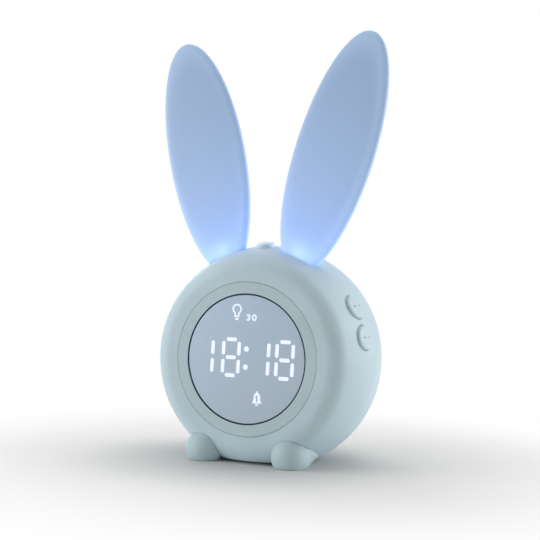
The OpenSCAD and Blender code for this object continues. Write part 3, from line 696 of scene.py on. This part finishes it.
def paint(mesh: Mesh, material: Material) -> None:
    """Makes a material the only one of a mesh."""
    mesh.materials.clear()
    mesh.materials.append(material)


def coat(material: Material, *nodes: str) -> None:
    """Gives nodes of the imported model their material."""
    for node in nodes:
        paint(frame["nodes"][node].data, material)


def to_mesh(work: bmesh.types.BMesh, name: str, angle: float = 30) -> Mesh:
    """Turns a work mesh into a mesh with smooth faces and sharp edges kept.

    Args:
        work: The work mesh, which is freed.
        name: The mesh's name.
        angle: Degrees above which an edge stays sharp.

    Returns:
        The mesh.
    """
    mesh = bpy.data.meshes.new(name)
    work.to_mesh(mesh)
    work.free()
    mesh.shade_smooth()
    mesh.set_sharp_from_angle(angle=math.radians(angle))
    return mesh


def dressed(node: str, material: Material, angle: float = 32) -> bpy.types.Object:
    """Replaces a node by its own smoothly shaded copy, its loose triangles joined.

    Args:
        node: The node's name.
        material: Its material.
        angle: Degrees above which an edge stays sharp.

    Returns:
        The piece that stands for the node.
    """
    joined = bmesh.new()
    joined.from_mesh(frame["nodes"][node].data)
    bmesh.ops.remove_doubles(joined, verts=joined.verts, dist=MERGE_REACH)
    piece = put(node + "_skin", to_mesh(joined, node + "_skin", angle), material, node)
    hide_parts(node)
    return piece


# ------------------------------------------------------------------ sub-assemblies


@dataclass
class Case:
    """Both shells, shaded with the true curvature of the ball and of its rounded face edge."""

    ball: Ball
    skin_depth: float = 0.06
    alike: float = 0.97  # cosine above which a face counts as part of the skin

    def build(self) -> None:
        """Dresses the two shells."""
        plastic = Finish.CASE.value.material()
        for node in ("front_shell", "rear_shell"):
            piece = dressed(node, plastic)
            self._true_normals(piece.data)

    def _outer_normal(self, place: Vector) -> Vector | None:
        """The ball's own normal at a place on its skin.

        Args:
            place: The place, in metres.

        Returns:
            The normal, or None where the place isn't on the skin.
        """
        local = (place - self.ball.centre) / MM
        radius = self.ball.radius / MM
        reach, edge_radius = self.ball.face_reach, self.ball.edge_radius
        ahead = -local.y
        aside = math.hypot(local.x, local.z)
        edge_ahead = reach - edge_radius
        edge_aside = math.sqrt((radius - edge_radius) ** 2 - edge_ahead**2)
        tangent = edge_ahead * radius / (radius - edge_radius)
        if ahead < tangent:
            if abs(local.length - radius) > self.skin_depth:
                return None
            return local.normalized()
        if aside < edge_aside:
            return Vector((0, -1, 0)) if abs(ahead - reach) < self.skin_depth else None
        slope = Vector((aside - edge_aside, ahead - edge_ahead))
        if abs(slope.length - edge_radius) > self.skin_depth:
            return None
        slope.normalize()
        return Vector((local.x / aside * slope.x, -slope.y, local.z / aside * slope.x))

    def _true_normals(self, mesh: Mesh) -> None:
        """Writes the skin's own normals into a shell's outer faces.

        Args:
            mesh: The shell's mesh.
        """
        known = [self._outer_normal(v.co) for v in mesh.vertices]
        normals = [Vector(n.vector) for n in mesh.corner_normals]
        for face in mesh.polygons:
            corners = [known[v] for v in face.vertices]
            if None in corners or any(n.dot(face.normal) < self.alike for n in corners):
                continue
            for loop, normal in zip(face.loop_indices, corners):
                normals[loop] = normal
        mesh.normals_split_custom_set(normals)


@dataclass
class Display:
    """Ring, half-mirror lens and the lit strokes and icons that show on it."""

    ball: Ball
    lens_radius: float = 28.9
    lens_top: float = 26.7
    lens_thickness: float = 2.0
    lens_edge: float = 0.3
    ring_radius: float = 34.7
    ring_thickness: float = 1.6
    ring_edge: float = 0.3
    bore: float = 29.4
    skirt: float = 2.0
    ledge: float = 1.2
    ledge_thickness: float = 1.8
    turns: int = 240
    digit_x: tuple[float, ...] = (-20.6, -7.35, 7.4, 19.25)
    digit_z: float = 0.5
    digit_height: float = 16.2
    digit_width: float = 7.8
    slant: float = 1.8
    stroke_width: float = 1.95
    upright_length: float = 6.35
    level_length: float = 5.3
    stroke_corners: int = 6
    colon_x: float = 0.25
    colon_d: float = 2.4
    colon_corners: int = 28
    sheet: float = 0.05
    bulb_place: Flat = (-4.9, 22.35)
    three_place: Flat = (0.75, 18.75)
    nought_place: Flat = (3.85, 18.75)
    bell_place: Flat = (6.3, -17.25)

    def build(self) -> None:
        """Builds the ring, the lens and everything lit on it."""
        centre_z = self.ball.centre.z
        bore_shade = Finish.RING.value.ring_material(centre_z, self.bore * MM)
        self._turned("face_ring", self._ring_corners(), True, bore_shade)
        mirror = Finish.MIRROR.value.material(centre_z, self.lens_radius * MM)
        self._turned("mirror_lens", self._lens_corners(), False, mirror)
        coat(Finish.FILM.value.material(), "diffuser_film")
        lit = Finish.LIT.value.material()
        uprights, levels = self._digit_places()
        ups = (-self.digit_height / 4, self.digit_height / 4)
        dots = [(self.colon_x + self._lean(up), self.digit_z + up, 0.0) for up in ups]
        width, corners = self.stroke_width, self.stroke_corners
        for name, places, size, sides in (
            ("lit_upright_strokes", uprights, (self.upright_length, width), corners),
            ("lit_level_strokes", levels, (self.level_length, width), corners),
            ("lit_colon", dots, (self.colon_d, self.colon_d), self.colon_corners),
        ):
            self._strokes(name, places, size, sides, lit)
        self._icons(lit)

    def _ring_corners(self) -> list[Corner]:
        """Draws the ring's section: its skirt, its plate, and its bore with the lens's ledge.

        Returns:
            The section's corners.
        """
        face = self.ball.face_reach
        seat = face - self.ring_thickness
        shelf = self.lens_top - self.lens_thickness
        foot = shelf - self.ledge_thickness
        inside, outside = self.bore - self.ledge, self.bore + self.skirt
        plate = [(self.ring_radius, seat, 0.0), (self.ring_radius, face, self.ring_edge)]
        skirt = [(inside, foot, 0.0), (outside, foot, 0.0), (outside, seat, 0.0)]
        bore = [(self.bore, face, self.ring_edge), (self.bore, shelf, 0.0), (inside, shelf, 0.0)]
        return skirt + plate + bore

    def _lens_corners(self) -> list[Corner]:
        """The lens's section, from its axis out round its polished edge and back."""
        back, rim = self.lens_top - self.lens_thickness, (self.lens_radius, self.lens_top)
        return [(0.0, back, 0.0), (rim[0], back, 0.0), (*rim, self.lens_edge), (0.0, rim[1], 0.0)]

    def _turned(self, node: str, corners: list[Corner], closed: bool, material: Material) -> None:
        """Turns a section about the display's axis in place of a node.

        Args:
            node: The node it stands for.
            corners: The section's corners.
            closed: Whether the section's end joins its start.
            material: The piece's material.
        """
        section = bpy.data.meshes.new(node + "_section")
        section.from_pydata([(r * MM, 0.0, h * MM) for r, h in filleted(corners, closed)], [], [])
        sizes = {"Turns": self.turns, "Closed": int(closed)}
        work = bmesh.new()
        work.from_mesh(grown(section, turned_tree(material), sizes))
        work.transform(self.ball.plane(0))
        bmesh.ops.recalc_face_normals(work, faces=work.faces)
        piece = put(node + "_turned", to_mesh(work, node + "_turned"), material, node)
        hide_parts(node)

    def _lean(self, up: float) -> float:
        """Sideways shift of a slanted digit at a height, in millimetres."""
        return up * math.tan(math.radians(self.slant))

    def _digit_places(self) -> tuple[list[Point], list[Point]]:
        """Places the lit strokes of the digits, which are a one and an eight in turn.

        Returns:
            The x, height and turn in degrees of the uprights, and those of the level strokes.
        """
        uprights, levels = [], []
        for digit, x in enumerate(self.digit_x):
            is_one = digit % 2 == 0
            for half in (-1, 1):
                up = half * self.digit_height / 4
                for side in (1,) if is_one else (-1, 1):
                    across = x + side * self.digit_width / 2 + self._lean(up)
                    uprights.append((across, self.digit_z + up, 90 - self.slant))
            for level in () if is_one else (-1, 0, 1):
                up = level * self.digit_height / 2
                levels.append((x + self._lean(up), self.digit_z + up, 0.0))
        return uprights, levels

    def _strokes(
        self, name: str, places: list[Point], size: Flat, corners: int, lit: Material
    ) -> None:
        """Places one kind of stroke at every point by a Geometry Nodes tree.

        Args:
            name: The piece's name.
            places: Each stroke's x, height and turn in degrees.
            size: Its length over the ends and its width.
            corners: Corners round it.
            lit: The lit film's material.
        """
        seeds = bpy.data.meshes.new(name + "_points")
        seeds.from_pydata([(x * MM, z * MM, 0.0) for x, z, _ in places], [], [])
        turns = seeds.attributes.new("turn", "FLOAT", "POINT")
        turns.data.foreach_set("value", [math.radians(turn) for _, _, turn in places])
        lengths = zip(("Length", "Width", "Thickness"), (*size, self.sheet))
        sizes = {"Corners": corners, **{key: length * MM for key, length in lengths}}
        mesh = grown(seeds, stroke_tree(lit), sizes)
        mesh.name = name
        mesh.transform(self.ball.plane(self.lens_top))
        put(name, mesh, lit, "mirror_lens")

    def _icons(self, lit: Material) -> None:
        """Builds the bulb, the minutes beside it and the bell with its number."""
        pen = Pen(bmesh.new(), self.ball.plane(self.lens_top), 0.0, self.sheet)
        pen.bulb(*self.bulb_place)
        pen.number_three(*self.three_place)
        pen.number_nought(*self.nought_place)
        pen.bell(*self.bell_place)
        mesh = to_mesh(pen.work, "lit_icons")
        put("lit_icons", mesh, lit, "mirror_lens")


def arc(centre: Flat, radii: Flat, start: float, sweep: float, steps: int) -> list[Flat]:
    """Finds points along the arc of an oval.

    Args:
        centre: The oval's middle.
        radii: Its half width and half height.
        start: Where the arc starts, in degrees from the right.
        sweep: Degrees that it goes round to the left.
        steps: Steps along it.

    Returns:
        The points, both ends among them.
    """
    turns = [math.radians(start + sweep * i / steps) for i in range(steps + 1)]
    (x, y), (across, up) = centre, radii
    return [(x + across * math.cos(t), y + up * math.sin(t)) for t in turns]


@dataclass
class Pen:
    """Draws thin plates on a plane, in millimetres from the plane's origin."""

    work: bmesh.types.BMesh
    plane: Matrix
    back: float
    front: float
    glass: float = 1.98
    neck: tuple[Flat, ...] = ((0.8, -3.2), (0.9, -2.55))
    bulb_line: float = 0.74
    cap: Point = (1.2, -3.75, -3.0)  # half width, foot and top, as the knob's
    tip: Point = (-4.2, 1.05, 0.85)  # height, half width and depth, as the clapper's
    bowl: Point = (0.6, 0.84, 0.58)
    bowl_line: float = 0.62
    nought: Flat = (0.84, 1.17)
    nought_line: float = 0.7
    bell_side: tuple[Flat, ...] = (
        (0.0, 2.6), (0.8, 2.35), (1.35, 1.75), (1.6, 0.8), (1.68, -0.6), (2.05, -1.5),
        (2.4, -2.1), (0.0, -2.1), (0.0, -1.45), (0.36, -1.45),
    )
    one_flag: tuple[Flat, ...] = ((0.36, 0.6), (0.8, 0.4), (0.8, 0.9))
    one_top: tuple[Flat, ...] = ((0.36, 1.45), (0.0, 1.45))
    knob: Point = (0.4, 2.4, 3.25)
    clapper: Point = (-2.5, 0.85, 0.75)

    def plate(self, outline: Sequence[Flat]) -> None:
        """Adds a closed plate of a simple outline.

        Args:
            outline: Its corners, across and up, going round once.
        """
        pairs = zip(outline, [*outline[1:], outline[0]])
        if sum(a[0] * b[1] - b[0] * a[1] for a, b in pairs) < 0:
            outline = outline[::-1]
        near = [self._vertex(p, self.front) for p in outline]
        far = [self._vertex(p, self.back) for p in outline]
        self.work.faces.new(near)
        self.work.faces.new(far[::-1])
        for i in range(len(outline)):
            j = (i + 1) % len(outline)
            self.work.faces.new((near[j], near[i], far[i], far[j]))

    def _vertex(self, place: Flat, reach: float) -> bmesh.types.BMVert:
        """Adds one corner."""
        return self.work.verts.new(self.plane @ (Vector((*place, reach)) * MM))

    def block(self, x: float, z: float, size: Point) -> None:
        """Draws a rectangle about the upright line at x, its foot and top measured from z."""
        half, low, high = size[0], z + size[1], z + size[2]
        self.plate([(x - half, low), (x + half, low), (x + half, high), (x - half, high)])

    def drop(self, x: float, z: float, size: Point, steps: int) -> None:
        """Draws the lower half of an oval, its height measured from z, in so many steps."""
        self.plate(arc((x, z + size[0]), size[1:], 180, 180, steps))

    def dash(self, x: float, length: float, width: float) -> None:
        """Draws a level round-ended dash about a place across, with its full length and width."""
        half, radii = (length - width) / 2, (width / 2, width / 2)
        self.plate(arc((x + half, 0), radii, -90, 180, 8) + arc((x - half, 0), radii, 90, 180, 8))

    def band(self, path: Sequence[Flat], width: float, closed: bool = False) -> None:
        """Adds a band of one width along a path, a ring where it is closed.

        Args:
            path: Its points.
            width: The band's width.
            closed: Whether its end joins its start.
        """
        outer, inner = [], []
        last = len(path) - 1
        for i, (x, z) in enumerate(path):
            before = path[i - 1] if closed or i > 0 else path[i]
            after = path[(i + 1) % len(path)] if closed or i < last else path[i]
            run = Vector((after[0] - before[0], after[1] - before[1])).normalized()
            outer.append((x - run.y * width / 2, z + run.x * width / 2))
            inner.append((x + run.y * width / 2, z - run.x * width / 2))
        if closed:
            self._ring(outer, inner)
        else:
            self.plate(outer + inner[::-1])

    def _ring(self, outer: Sequence[Flat], inner: Sequence[Flat]) -> None:
        """Adds a closed ring between two loops.

        Args:
            outer: The outer loop.
            inner: The inner loop, with the same number of points.
        """
        sides = ((outer, self.front), (inner, self.front), (inner, self.back), (outer, self.back))
        loops = [[self._vertex(p, reach) for p in loop] for loop, reach in sides]
        faces = []
        for loop, other in zip(loops, [*loops[1:], loops[0]]):
            for i in range(len(loop)):
                j = (i + 1) % len(loop)
                faces.append(self.work.faces.new((loop[i], loop[j], other[j], other[i])))
        bmesh.ops.recalc_face_normals(self.work, faces=faces)

    def bulb(self, x: float, z: float) -> None:
        """Draws a light bulb's outline with its two cap plates.

        Args:
            x: Middle of the glass.
            z: Height of the middle of the glass.
        """
        path = [(x + across, z + up) for across, up in self.neck]
        path += arc((x, z), (self.glass, self.glass), -62, 304, 30)
        path += [(x - across, z + up) for across, up in reversed(self.neck)]
        self.band(path, self.bulb_line)
        self.block(x, z, self.cap)
        self.drop(x, z, self.tip, 10)

    def number_three(self, x: float, z: float) -> None:
        """Draws a small bold three as two open bowls.

        Args:
            x: Its middle.
            z: Height of its middle.
        """
        rise, across, up = self.bowl
        for half in (-1, 1):
            path = arc((x, z + half * rise), (across, half * up), 160, -250, 16)
            self.band(path, self.bowl_line)

    def number_nought(self, x: float, z: float) -> None:
        """Draws a small bold nought about a middle point."""
        self.band(arc((x, z), self.nought, 0, 360, 32)[:-1], self.nought_line, closed=True)

    def bell(self, x: float, z: float) -> None:
        """Draws a bell with a one cut out of it, a knob and a clapper.

        Args:
            x: Middle of the bell.
            z: Height of the middle of the bell.
        """
        right = (*self.bell_side, *self.one_top)
        left = (*self.bell_side, *self.one_flag, *self.one_top)
        for side, half in ((1, right), (-1, left)):
            self.plate([(x + side * across, z + up) for across, up in half])
        self.block(x, z, self.knob)
        self.drop(x, z, self.clapper, 8)


class Growth(Tree):
    """A Geometry Nodes tree that gives its carrier's shape a new one, with named sizes."""

    def __init__(self, name: str, **sizes: str) -> None:
        """Makes a tree with its inputs.

        Args:
            name: The tree's name.
            sizes: The kind of each input beside the geometry, Float or Int.
        """
        group = bpy.data.node_groups.new(name, "GeometryNodeTree")
        super().__init__(group)
        for key, kind in {"Geometry": "Geometry", **sizes}.items():
            group.interface.new_socket(key, in_out="INPUT", socket_type="NodeSocket" + kind)
        group.interface.new_socket("Geometry", in_out="OUTPUT", socket_type="NodeSocketGeometry")
        outputs = self.node("NodeGroupInput").outputs
        self.given = [Value(self, outputs[key]) for key in ("Geometry", *sizes)]

    def ended(self, geometry: Value, material: Material) -> bpy.types.NodeTree:
        """Ends the tree.

        Args:
            geometry: What it has made.
            material: The material of that.

        Returns:
            The tree's node group.
        """
        real = self.value("GeometryNodeRealizeInstances", {0: geometry})
        coated = self.value("GeometryNodeSetMaterial", {"Geometry": real, "Material": material})
        self.node("NodeGroupOutput", {0: coated})
        return self.tree


def stroke_tree(material: Material) -> bpy.types.NodeTree:
    """Builds the tree that places a stroke, a stretched polygon, at every point of a mesh.

    Args:
        material: The strokes' material.

    Returns:
        The tree, with Length, Width, Thickness and Corners inputs.
    """
    tree = Growth("strokes", Length="Float", Width="Float", Thickness="Float", Corners="Int")
    seeds, length, width, thickness, corners = tree.given
    disc = tree.value(
        "GeometryNodeMeshCircle", {"Vertices": corners, "Radius": width * 0.5}, fill_type="NGON"
    )
    x, _, _ = tree.split(tree.value("GeometryNodeInputPosition"))
    shift = tree.math("SIGN", x + EXACT) * (length - width) * 0.5
    pulled = {"Geometry": disc, "Offset": tree.vector(shift, 0.0, 0.0)}
    bar = tree.value("GeometryNodeSetPosition", pulled)
    solid = tree.value(
        "GeometryNodeExtrudeMesh",
        {"Mesh": bar, "Offset Scale": thickness, "Individual": False},
        mode="FACES",
    )
    both = tree.node("GeometryNodeJoinGeometry")
    for part in (solid, tree.value("GeometryNodeFlipFaces", {0: bar})):
        tree.feed(both.inputs[0], part)
    joints = {"Geometry": both.outputs[0], "Distance": EXACT}
    turn = tree.value("GeometryNodeInputNamedAttribute", {"Name": "turn"}, data_type="FLOAT")
    placed = tree.value(
        "GeometryNodeInstanceOnPoints",
        {
            "Points": tree.value("GeometryNodeMeshToPoints", {0: seeds}),
            "Instance": tree.value("GeometryNodeMergeByDistance", joints),
            "Rotation": tree.vector(0.0, 0.0, turn),
        },
    )
    return tree.ended(placed, material)


def turned_tree(material: Material) -> bpy.types.NodeTree:
    """Builds the tree that turns a section, the carrier's points, about the z axis.

    Args:
        material: The turned piece's material.

    Returns:
        The tree, with Turns for the steps round the axis, and Closed, which is 1 where the
        section's end joins its start.
    """
    tree = Growth("turned", Turns="Int", Closed="Int")
    section, turns, closed = tree.given
    count = tree.value("GeometryNodeAttributeDomainSize", {"Geometry": section}, "Point Count")
    sides = {"Vertices X": count + closed, "Vertices Y": turns + 1}
    grid = tree.value("GeometryNodeMeshGrid", sides)
    index = tree.value("GeometryNodeInputIndex")
    row = tree.math("FLOOR", (index + 0.5) / (turns + 1))
    angle = (index - row * (turns + 1)) / turns * math.tau
    sampled = tree.value(
        "GeometryNodeSampleIndex",
        {
            "Geometry": section,
            "Value": tree.value("GeometryNodeInputPosition"),
            "Index": tree.math("MODULO", row, count),
        },
        data_type="FLOAT_VECTOR",
    )
    reach, _, height = tree.split(sampled)
    x, y = (reach * tree.math(way, angle) for way in ("COSINE", "SINE"))
    bent = {"Geometry": grid, "Position": tree.vector(x, y, height)}
    joints = {"Geometry": tree.value("GeometryNodeSetPosition", bent), "Distance": SEAM_REACH}
    return tree.ended(tree.value("GeometryNodeMergeByDistance", joints), material)


def filleted(corners: Sequence[Corner], closed: bool) -> list[Flat]:
    """Rounds the corners of a section that have a radius.

    Args:
        corners: Each corner's distance from the axis, its reach forward and its radius.
        closed: Whether the last corner joins the first one.

    Returns:
        The section's points.
    """
    points: list[Flat] = []
    for i, (x, z, radius) in enumerate(corners):
        if radius == 0 or (not closed and i in (0, len(corners) - 1)):
            points.append((x, z))
            continue
        here = Vector((x, z))
        before = (Vector(corners[i - 1][:2]) - here).normalized()
        after = (Vector(corners[(i + 1) % len(corners)][:2]) - here).normalized()
        middle = here + (before + after) * radius
        points.append(tuple(middle - after * radius + before * FLAT_STRIP))
        for step in range(ARC_STEPS + 1):
            t = math.pi / 2 * step / ARC_STEPS
            turned = middle - after * radius * math.cos(t) - before * radius * math.sin(t)
            points.append(tuple(turned))
        points.append(tuple(middle - before * radius + after * FLAT_STRIP))
    return points


def grown(start: Mesh, group: bpy.types.NodeTree, sizes: dict[str, float]) -> Mesh:
    """Runs a Geometry Nodes tree on a mesh and keeps the result as a plain mesh.

    Args:
        start: The mesh that the tree starts from.
        group: The tree.
        sizes: Values of its named inputs.

    Returns:
        The mesh.
    """
    carrier = linked(start.name, start)
    modifier = carrier.modifiers.new("grown", "NODES")
    modifier.node_group = group
    for item in group.interface.items_tree:
        if item.item_type == "SOCKET" and item.in_out == "INPUT" and item.name in sizes:
            modifier[item.identifier] = sizes[item.name]
    graph = bpy.context.evaluated_depsgraph_get()
    mesh = bpy.data.meshes.new_from_object(carrier.evaluated_get(graph))
    carrier.modifiers.remove(modifier)
    bpy.data.objects.remove(carrier)
    return mesh


@dataclass
class Ears:
    """The two tall ears, lit from their roots."""

    ball: Ball
    x: float = 32.6
    z: float = 94.0
    forward: float = 8.8
    half_width: float = 19.55
    half_height: float = 57.3
    splay: float = 15.8
    lean: float = 3.6
    toe: float = 2.6
    softness: float = 1.1
    softness_gain: float = 1.6

    def build(self) -> None:
        """Dresses the ears and their light boards."""
        material = Finish.MILK.value.material(self)
        front = self.way(0, -1, 0)
        for node, side in (("left_ear", -1), ("right_ear", 1)):
            piece = dressed(node, material, 45)
            self._soften(piece.data, Vector((side * front.x, front.y, front.z)))
        coat(Finish.WHITE_BOARD.value.material(), "ear_light_boards")

    def _soften(self, mesh: Mesh, front: Vector) -> None:
        """Leans the normals of the rounded edge towards the flat faces beside it.

        Args:
            mesh: The ear's mesh.
            front: The way its front face looks.
        """
        normals = []
        for corner in mesh.corner_normals:
            normal = Vector(corner.vector)
            facing = normal.dot(front)
            pull = self.softness * min(1.0, abs(facing) * self.softness_gain)
            normals.append((normal + front * math.copysign(pull, facing)).normalized())
        mesh.normals_split_custom_set(normals)

    def way(self, x: float, y: float, z: float) -> Vector:
        """Turns a direction of an upright ear into that of the right ear.

        Args:
            x: Its part to the right.
            y: Its part to the back.
            z: Its part upwards.

        Returns:
            The direction.
        """
        turn = Matrix.Identity(3)
        for angle, axis in ((self.splay, "Y"), (-self.lean, "X"), (-self.toe, "Z")):
            turn = turn @ Matrix.Rotation(math.radians(angle), 3, axis)
        return turn @ Vector((x, y, z))

    def root(self) -> tuple[Vector, float]:
        """Finds where the right ear's middle line meets the ball.

        Returns:
            The place, from the ball's centre, and its distance from the ear's middle.
        """
        radius, axis = self.ball.radius / MM, self.way(0, 0, 1)
        middle = Vector((self.x, -self.forward, self.z))
        half = middle.dot(axis)
        reach = -half + math.sqrt(half**2 - middle.length_squared + radius**2)
        root = middle + axis * reach
        return root, (middle - root).length


@dataclass
class Keys:
    """The press keys with their moulded marks, and the switches below them."""

    ball: Ball
    mid_angle: float = 21.0
    spread: float = 8.0145
    reach: float = 9.0
    side_proud: float = 1.2
    mark_back: float = -0.1
    mark_front: float = 0.02
    marks: tuple[Point, ...] = ((-1.55, 1.5, 0.5), (2.05, 0.75, 0.45))  # place, length, width

    def build(self) -> None:
        """Dresses the keys and their switch pins."""
        plastic = Finish.KEY.value.material()
        # The top key's lighter colour is painted light against the ears' shadow.
        lightened_top_plastic = Finish.TOP_KEY_LIGHTENED.value.material()
        pin = Finish.PIN.value.material()
        mark = Finish.MARK.value.material()
        angles = {
            "top_key": None,
            "right_upper_key": self.mid_angle + self.spread,
            "right_lower_key": self.mid_angle - self.spread,
        }
        for node, angle in angles.items():
            dressed(node, plastic if angle is not None else lightened_top_plastic, 40)
            coat(pin, node.replace("_key", "_plunger"))
            if angle is not None:
                self._marks(node, angle, mark)
        coat(Finish.SWITCH.value.material(), "key_switches")

    def _marks(self, node: str, angle: float, material: Material) -> None:
        """Puts a dash and a dot of painted shade, standing for engraved marks, on a side key.

        Args:
            node: The key's node.
            angle: Degrees that the key stands above the middle of the side.
            material: The marks' material.
        """
        # The marks are dark plates, a painted shade for engraved grooves.
        pen = Pen(bmesh.new(), self._crown(angle), self.mark_back, self.mark_front)
        for mark in self.marks:
            pen.dash(*mark)
        put(node + "_marks", to_mesh(pen.work, node + "_marks"), material, node)

    def _crown(self, angle: float) -> Matrix:
        """Finds the plane on top of a side key.

        Args:
            angle: Degrees that the key stands above the middle of the side.

        Returns:
            The plane: x to the back, y up the side, z out of the key.
        """
        radius = self.ball.radius / MM
        tilt = math.asin(self.reach / radius)
        turn = Matrix.Rotation(math.radians(90 - angle), 3, "Y") @ Matrix.Rotation(tilt, 3, "X")
        back, down, out = turn.col[1], turn.col[0], turn.col[2]
        axes = Matrix((back, -down, out)).transposed().to_4x4()
        return Matrix.Translation(self.ball.point(*(out * (radius + self.side_proud)))) @ axes


@dataclass
class Insides:
    """Everything inside the case, and the paws and pads below it."""

    finishes: tuple[tuple[Any, ...], ...] = (
        (Finish.GREEN_BOARD, "display_board", "main_board", "usb_board", "top_key_board",
         "right_key_board"),
        (Finish.LED, "display_leds", "ear_leds"),
        (Finish.SCREW, "display_screws", "ear_screws", "ear_board_screws", "key_board_screws",
         "foot_screws", "main_board_screws", "usb_board_screws", "strap_screws",
         "speaker_screws", "case_screws"),
        (Finish.RUBBER, "rear_pads"),
        (Finish.BLOCK, "light_block"),
        (Finish.CHIP, "controller_chip"),
        (Finish.NYLON, "board_connectors"),
        (Finish.SOCKET, "usb_socket"),
        (Finish.WRAP, "battery_cell"),
        (Finish.STRAP, "battery_strap"),
        (Finish.BASKET, "speaker_frame"),
        (Finish.CONE, "speaker_cone"),
        (Finish.MAGNET, "speaker_magnet"),
    )

    def build(self) -> None:
        """Coats every node here, and smooths the paws."""
        for finish, *nodes in self.finishes:
            coat(finish.value.material(), *nodes)
        # The paws' darker colour is painted shade.
        shaded_paw = Finish.PAW_SHADED.value.material()
        for node in ("left_foot", "right_foot"):
            dressed(node, shaded_paw, 50)


# ------------------------------------------------------------------ stage


@dataclass
class Stage:
    """Floor, lamps, world and camera."""

    ball: Ball
    camera_place: Point = (215.07, -459.94, 33.77)
    camera_axes: tuple[Point, Point, Point] = (
        (0.90428842, 0.42581534, 0.03072063),
        (-0.02203713, -0.02530535, 0.99943684),
        (0.42635293, -0.90445616, -0.01349959),
    )
    lens: float = 71.86
    floor_half: float = 12.0
    floor_fade: Flat = (0.03, 0.21)  # metres from the middle
    # Painted contact shadow: the floor's colour is darker in a soft patch round this place.
    painted_shadow_place: Flat = (-0.008, -0.035)
    painted_shadow_fade: Flat = (0.03, 0.085)  # metres from the shade's place
    paper_scale: float = 14
    paper: tuple[Colour, Colour] = (srgb(217, 216, 213), srgb(221, 220, 217))
    painted_shadow_paper: Colour = srgb(196, 196, 195)
    bounced_paper: Colour = srgb(232, 232, 230)
    sky: tuple[float, ...] = (0.94, 0.97, 1.0, 1)
    sky_strength: float = 0.31

    def build(self) -> None:
        """Builds the whole stage."""
        self._camera()
        self._floor()
        self._world()
        for lamp in Lamp:
            lamp.value.build()

    def _camera(self) -> None:
        """Places the camera."""
        data = bpy.data.cameras.new("camera")
        data.sensor_width = 36
        data.lens = self.lens
        data.clip_start, data.clip_end = 0.01, 100
        camera = linked("camera", data)
        turn = Matrix(self.camera_axes).transposed().to_4x4()
        camera.matrix_world = Matrix.Translation(self.ball.point(*self.camera_place)) @ turn
        bpy.context.scene.camera = camera
        bpy.context.scene.view_settings.view_transform = "Standard"

    def _floor(self) -> None:
        """Makes the pale floor, with a painted contact shadow as a darker soft patch before the
        clock, and white further out.
        """
        half = self.floor_half
        mesh = bpy.data.meshes.new("floor")
        corners = [(-half, -half, 0), (half, -half, 0), (half, half, 0), (-half, half, 0)]
        mesh.from_pydata(corners, [], [(0, 1, 2, 3)])
        floor = linked("floor", mesh)
        shader = Shader("floor_paper")
        x, y, _ = shader.axes()
        far = shader.length(x, y).step(*self.floor_fade)
        from_painted_shadow = shader.length(x - self.painted_shadow_place[0], y - self.painted_shadow_place[1])
        seen = shader.rays("Camera", "Glossy", "Transmission")
        paper = shader.mix(shader.noise(self.paper_scale, CLOUD_DETAIL), *self.paper)
        # Painted contact shadow: the paper is darker round the shadow's place.
        paper = shader.mix(from_painted_shadow.step(*self.painted_shadow_fade), self.painted_shadow_paper, paper)
        shader.set(
            Base_Color=shader.mix(seen, self.bounced_paper, paper),
            Roughness=0.75,
            Specular_IOR_Level=0.25,
        )
        white = shader.value("ShaderNodeEmission", {"Color": WHITE, "Strength": 1.0})
        lit = shader.principled.outputs[0]
        shader.feed(shader.surface, shader.blend(far * seen, lit, white))
        paint(mesh, shader.material)

    def _world(self) -> None:
        """Makes the world: white where it is seen, a soft sky where it lights."""
        world = bpy.data.worlds.new("studio")
        bpy.context.scene.world = world
        world.use_nodes = True
        tree = Tree(world.node_tree)
        tree.tree.nodes.clear()
        sky, white = (
            tree.value("ShaderNodeBackground", {"Color": colour, "Strength": strength})
            for colour, strength in ((self.sky, self.sky_strength), (WHITE, 1.0))
        )
        mixed = tree.blend(tree.rays("Camera", "Transmission"), sky, white)
        tree.node("ShaderNodeOutputWorld", {0: mixed})


@dataclass(frozen=True)
class SoftBox:
    """A soft white studio lamp that faces the clock."""

    name: str
    place: Point
    size: Flat
    power: float
    target: Point = (0.0, 0.0, 0.08)

    def build(self) -> None:
        """Adds the lamp to the scene."""
        data = bpy.data.lights.new(self.name, "AREA")
        data.shape = "RECTANGLE"
        data.size, data.size_y = self.size
        data.energy = self.power
        lamp = linked(self.name, data)
        lamp.location = self.place
        aim = Vector(self.target) - Vector(self.place)
        lamp.rotation_mode = "QUATERNION"
        lamp.rotation_quaternion = aim.to_track_quat("-Z", "Y")


class Lamp(Enum):
    """The studio's lamps."""

    TOP = SoftBox("top_lamp", (0.0, 0.05, 0.8), (0.9, 0.6), 2.75)
    LEFT_FRONT = SoftBox("left_front_lamp", (-0.65, -0.4, 0.2), (0.5, 0.6), 3.3)
    LEFT_BACK = SoftBox("left_back_lamp", (-0.55, 0.45, 0.35), (0.5, 0.6), 1.9)
    RIGHT_BACK = SoftBox("right_back_lamp", (0.65, 0.36, 0.2), (0.5, 0.6), 3.95)


def main() -> None:
    """Builds the sub-assemblies in order."""
    logging.basicConfig(level=logging.INFO, format="%(message)s")
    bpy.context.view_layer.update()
    ball = Ball.measured()
    for part in (Stage(ball), Case(ball), Display(ball), Ears(ball), Keys(ball), Insides()):
        LOG.info("building %s", type(part).__name__.lower())
        part.build()


if __name__ == "__main__":
    main()
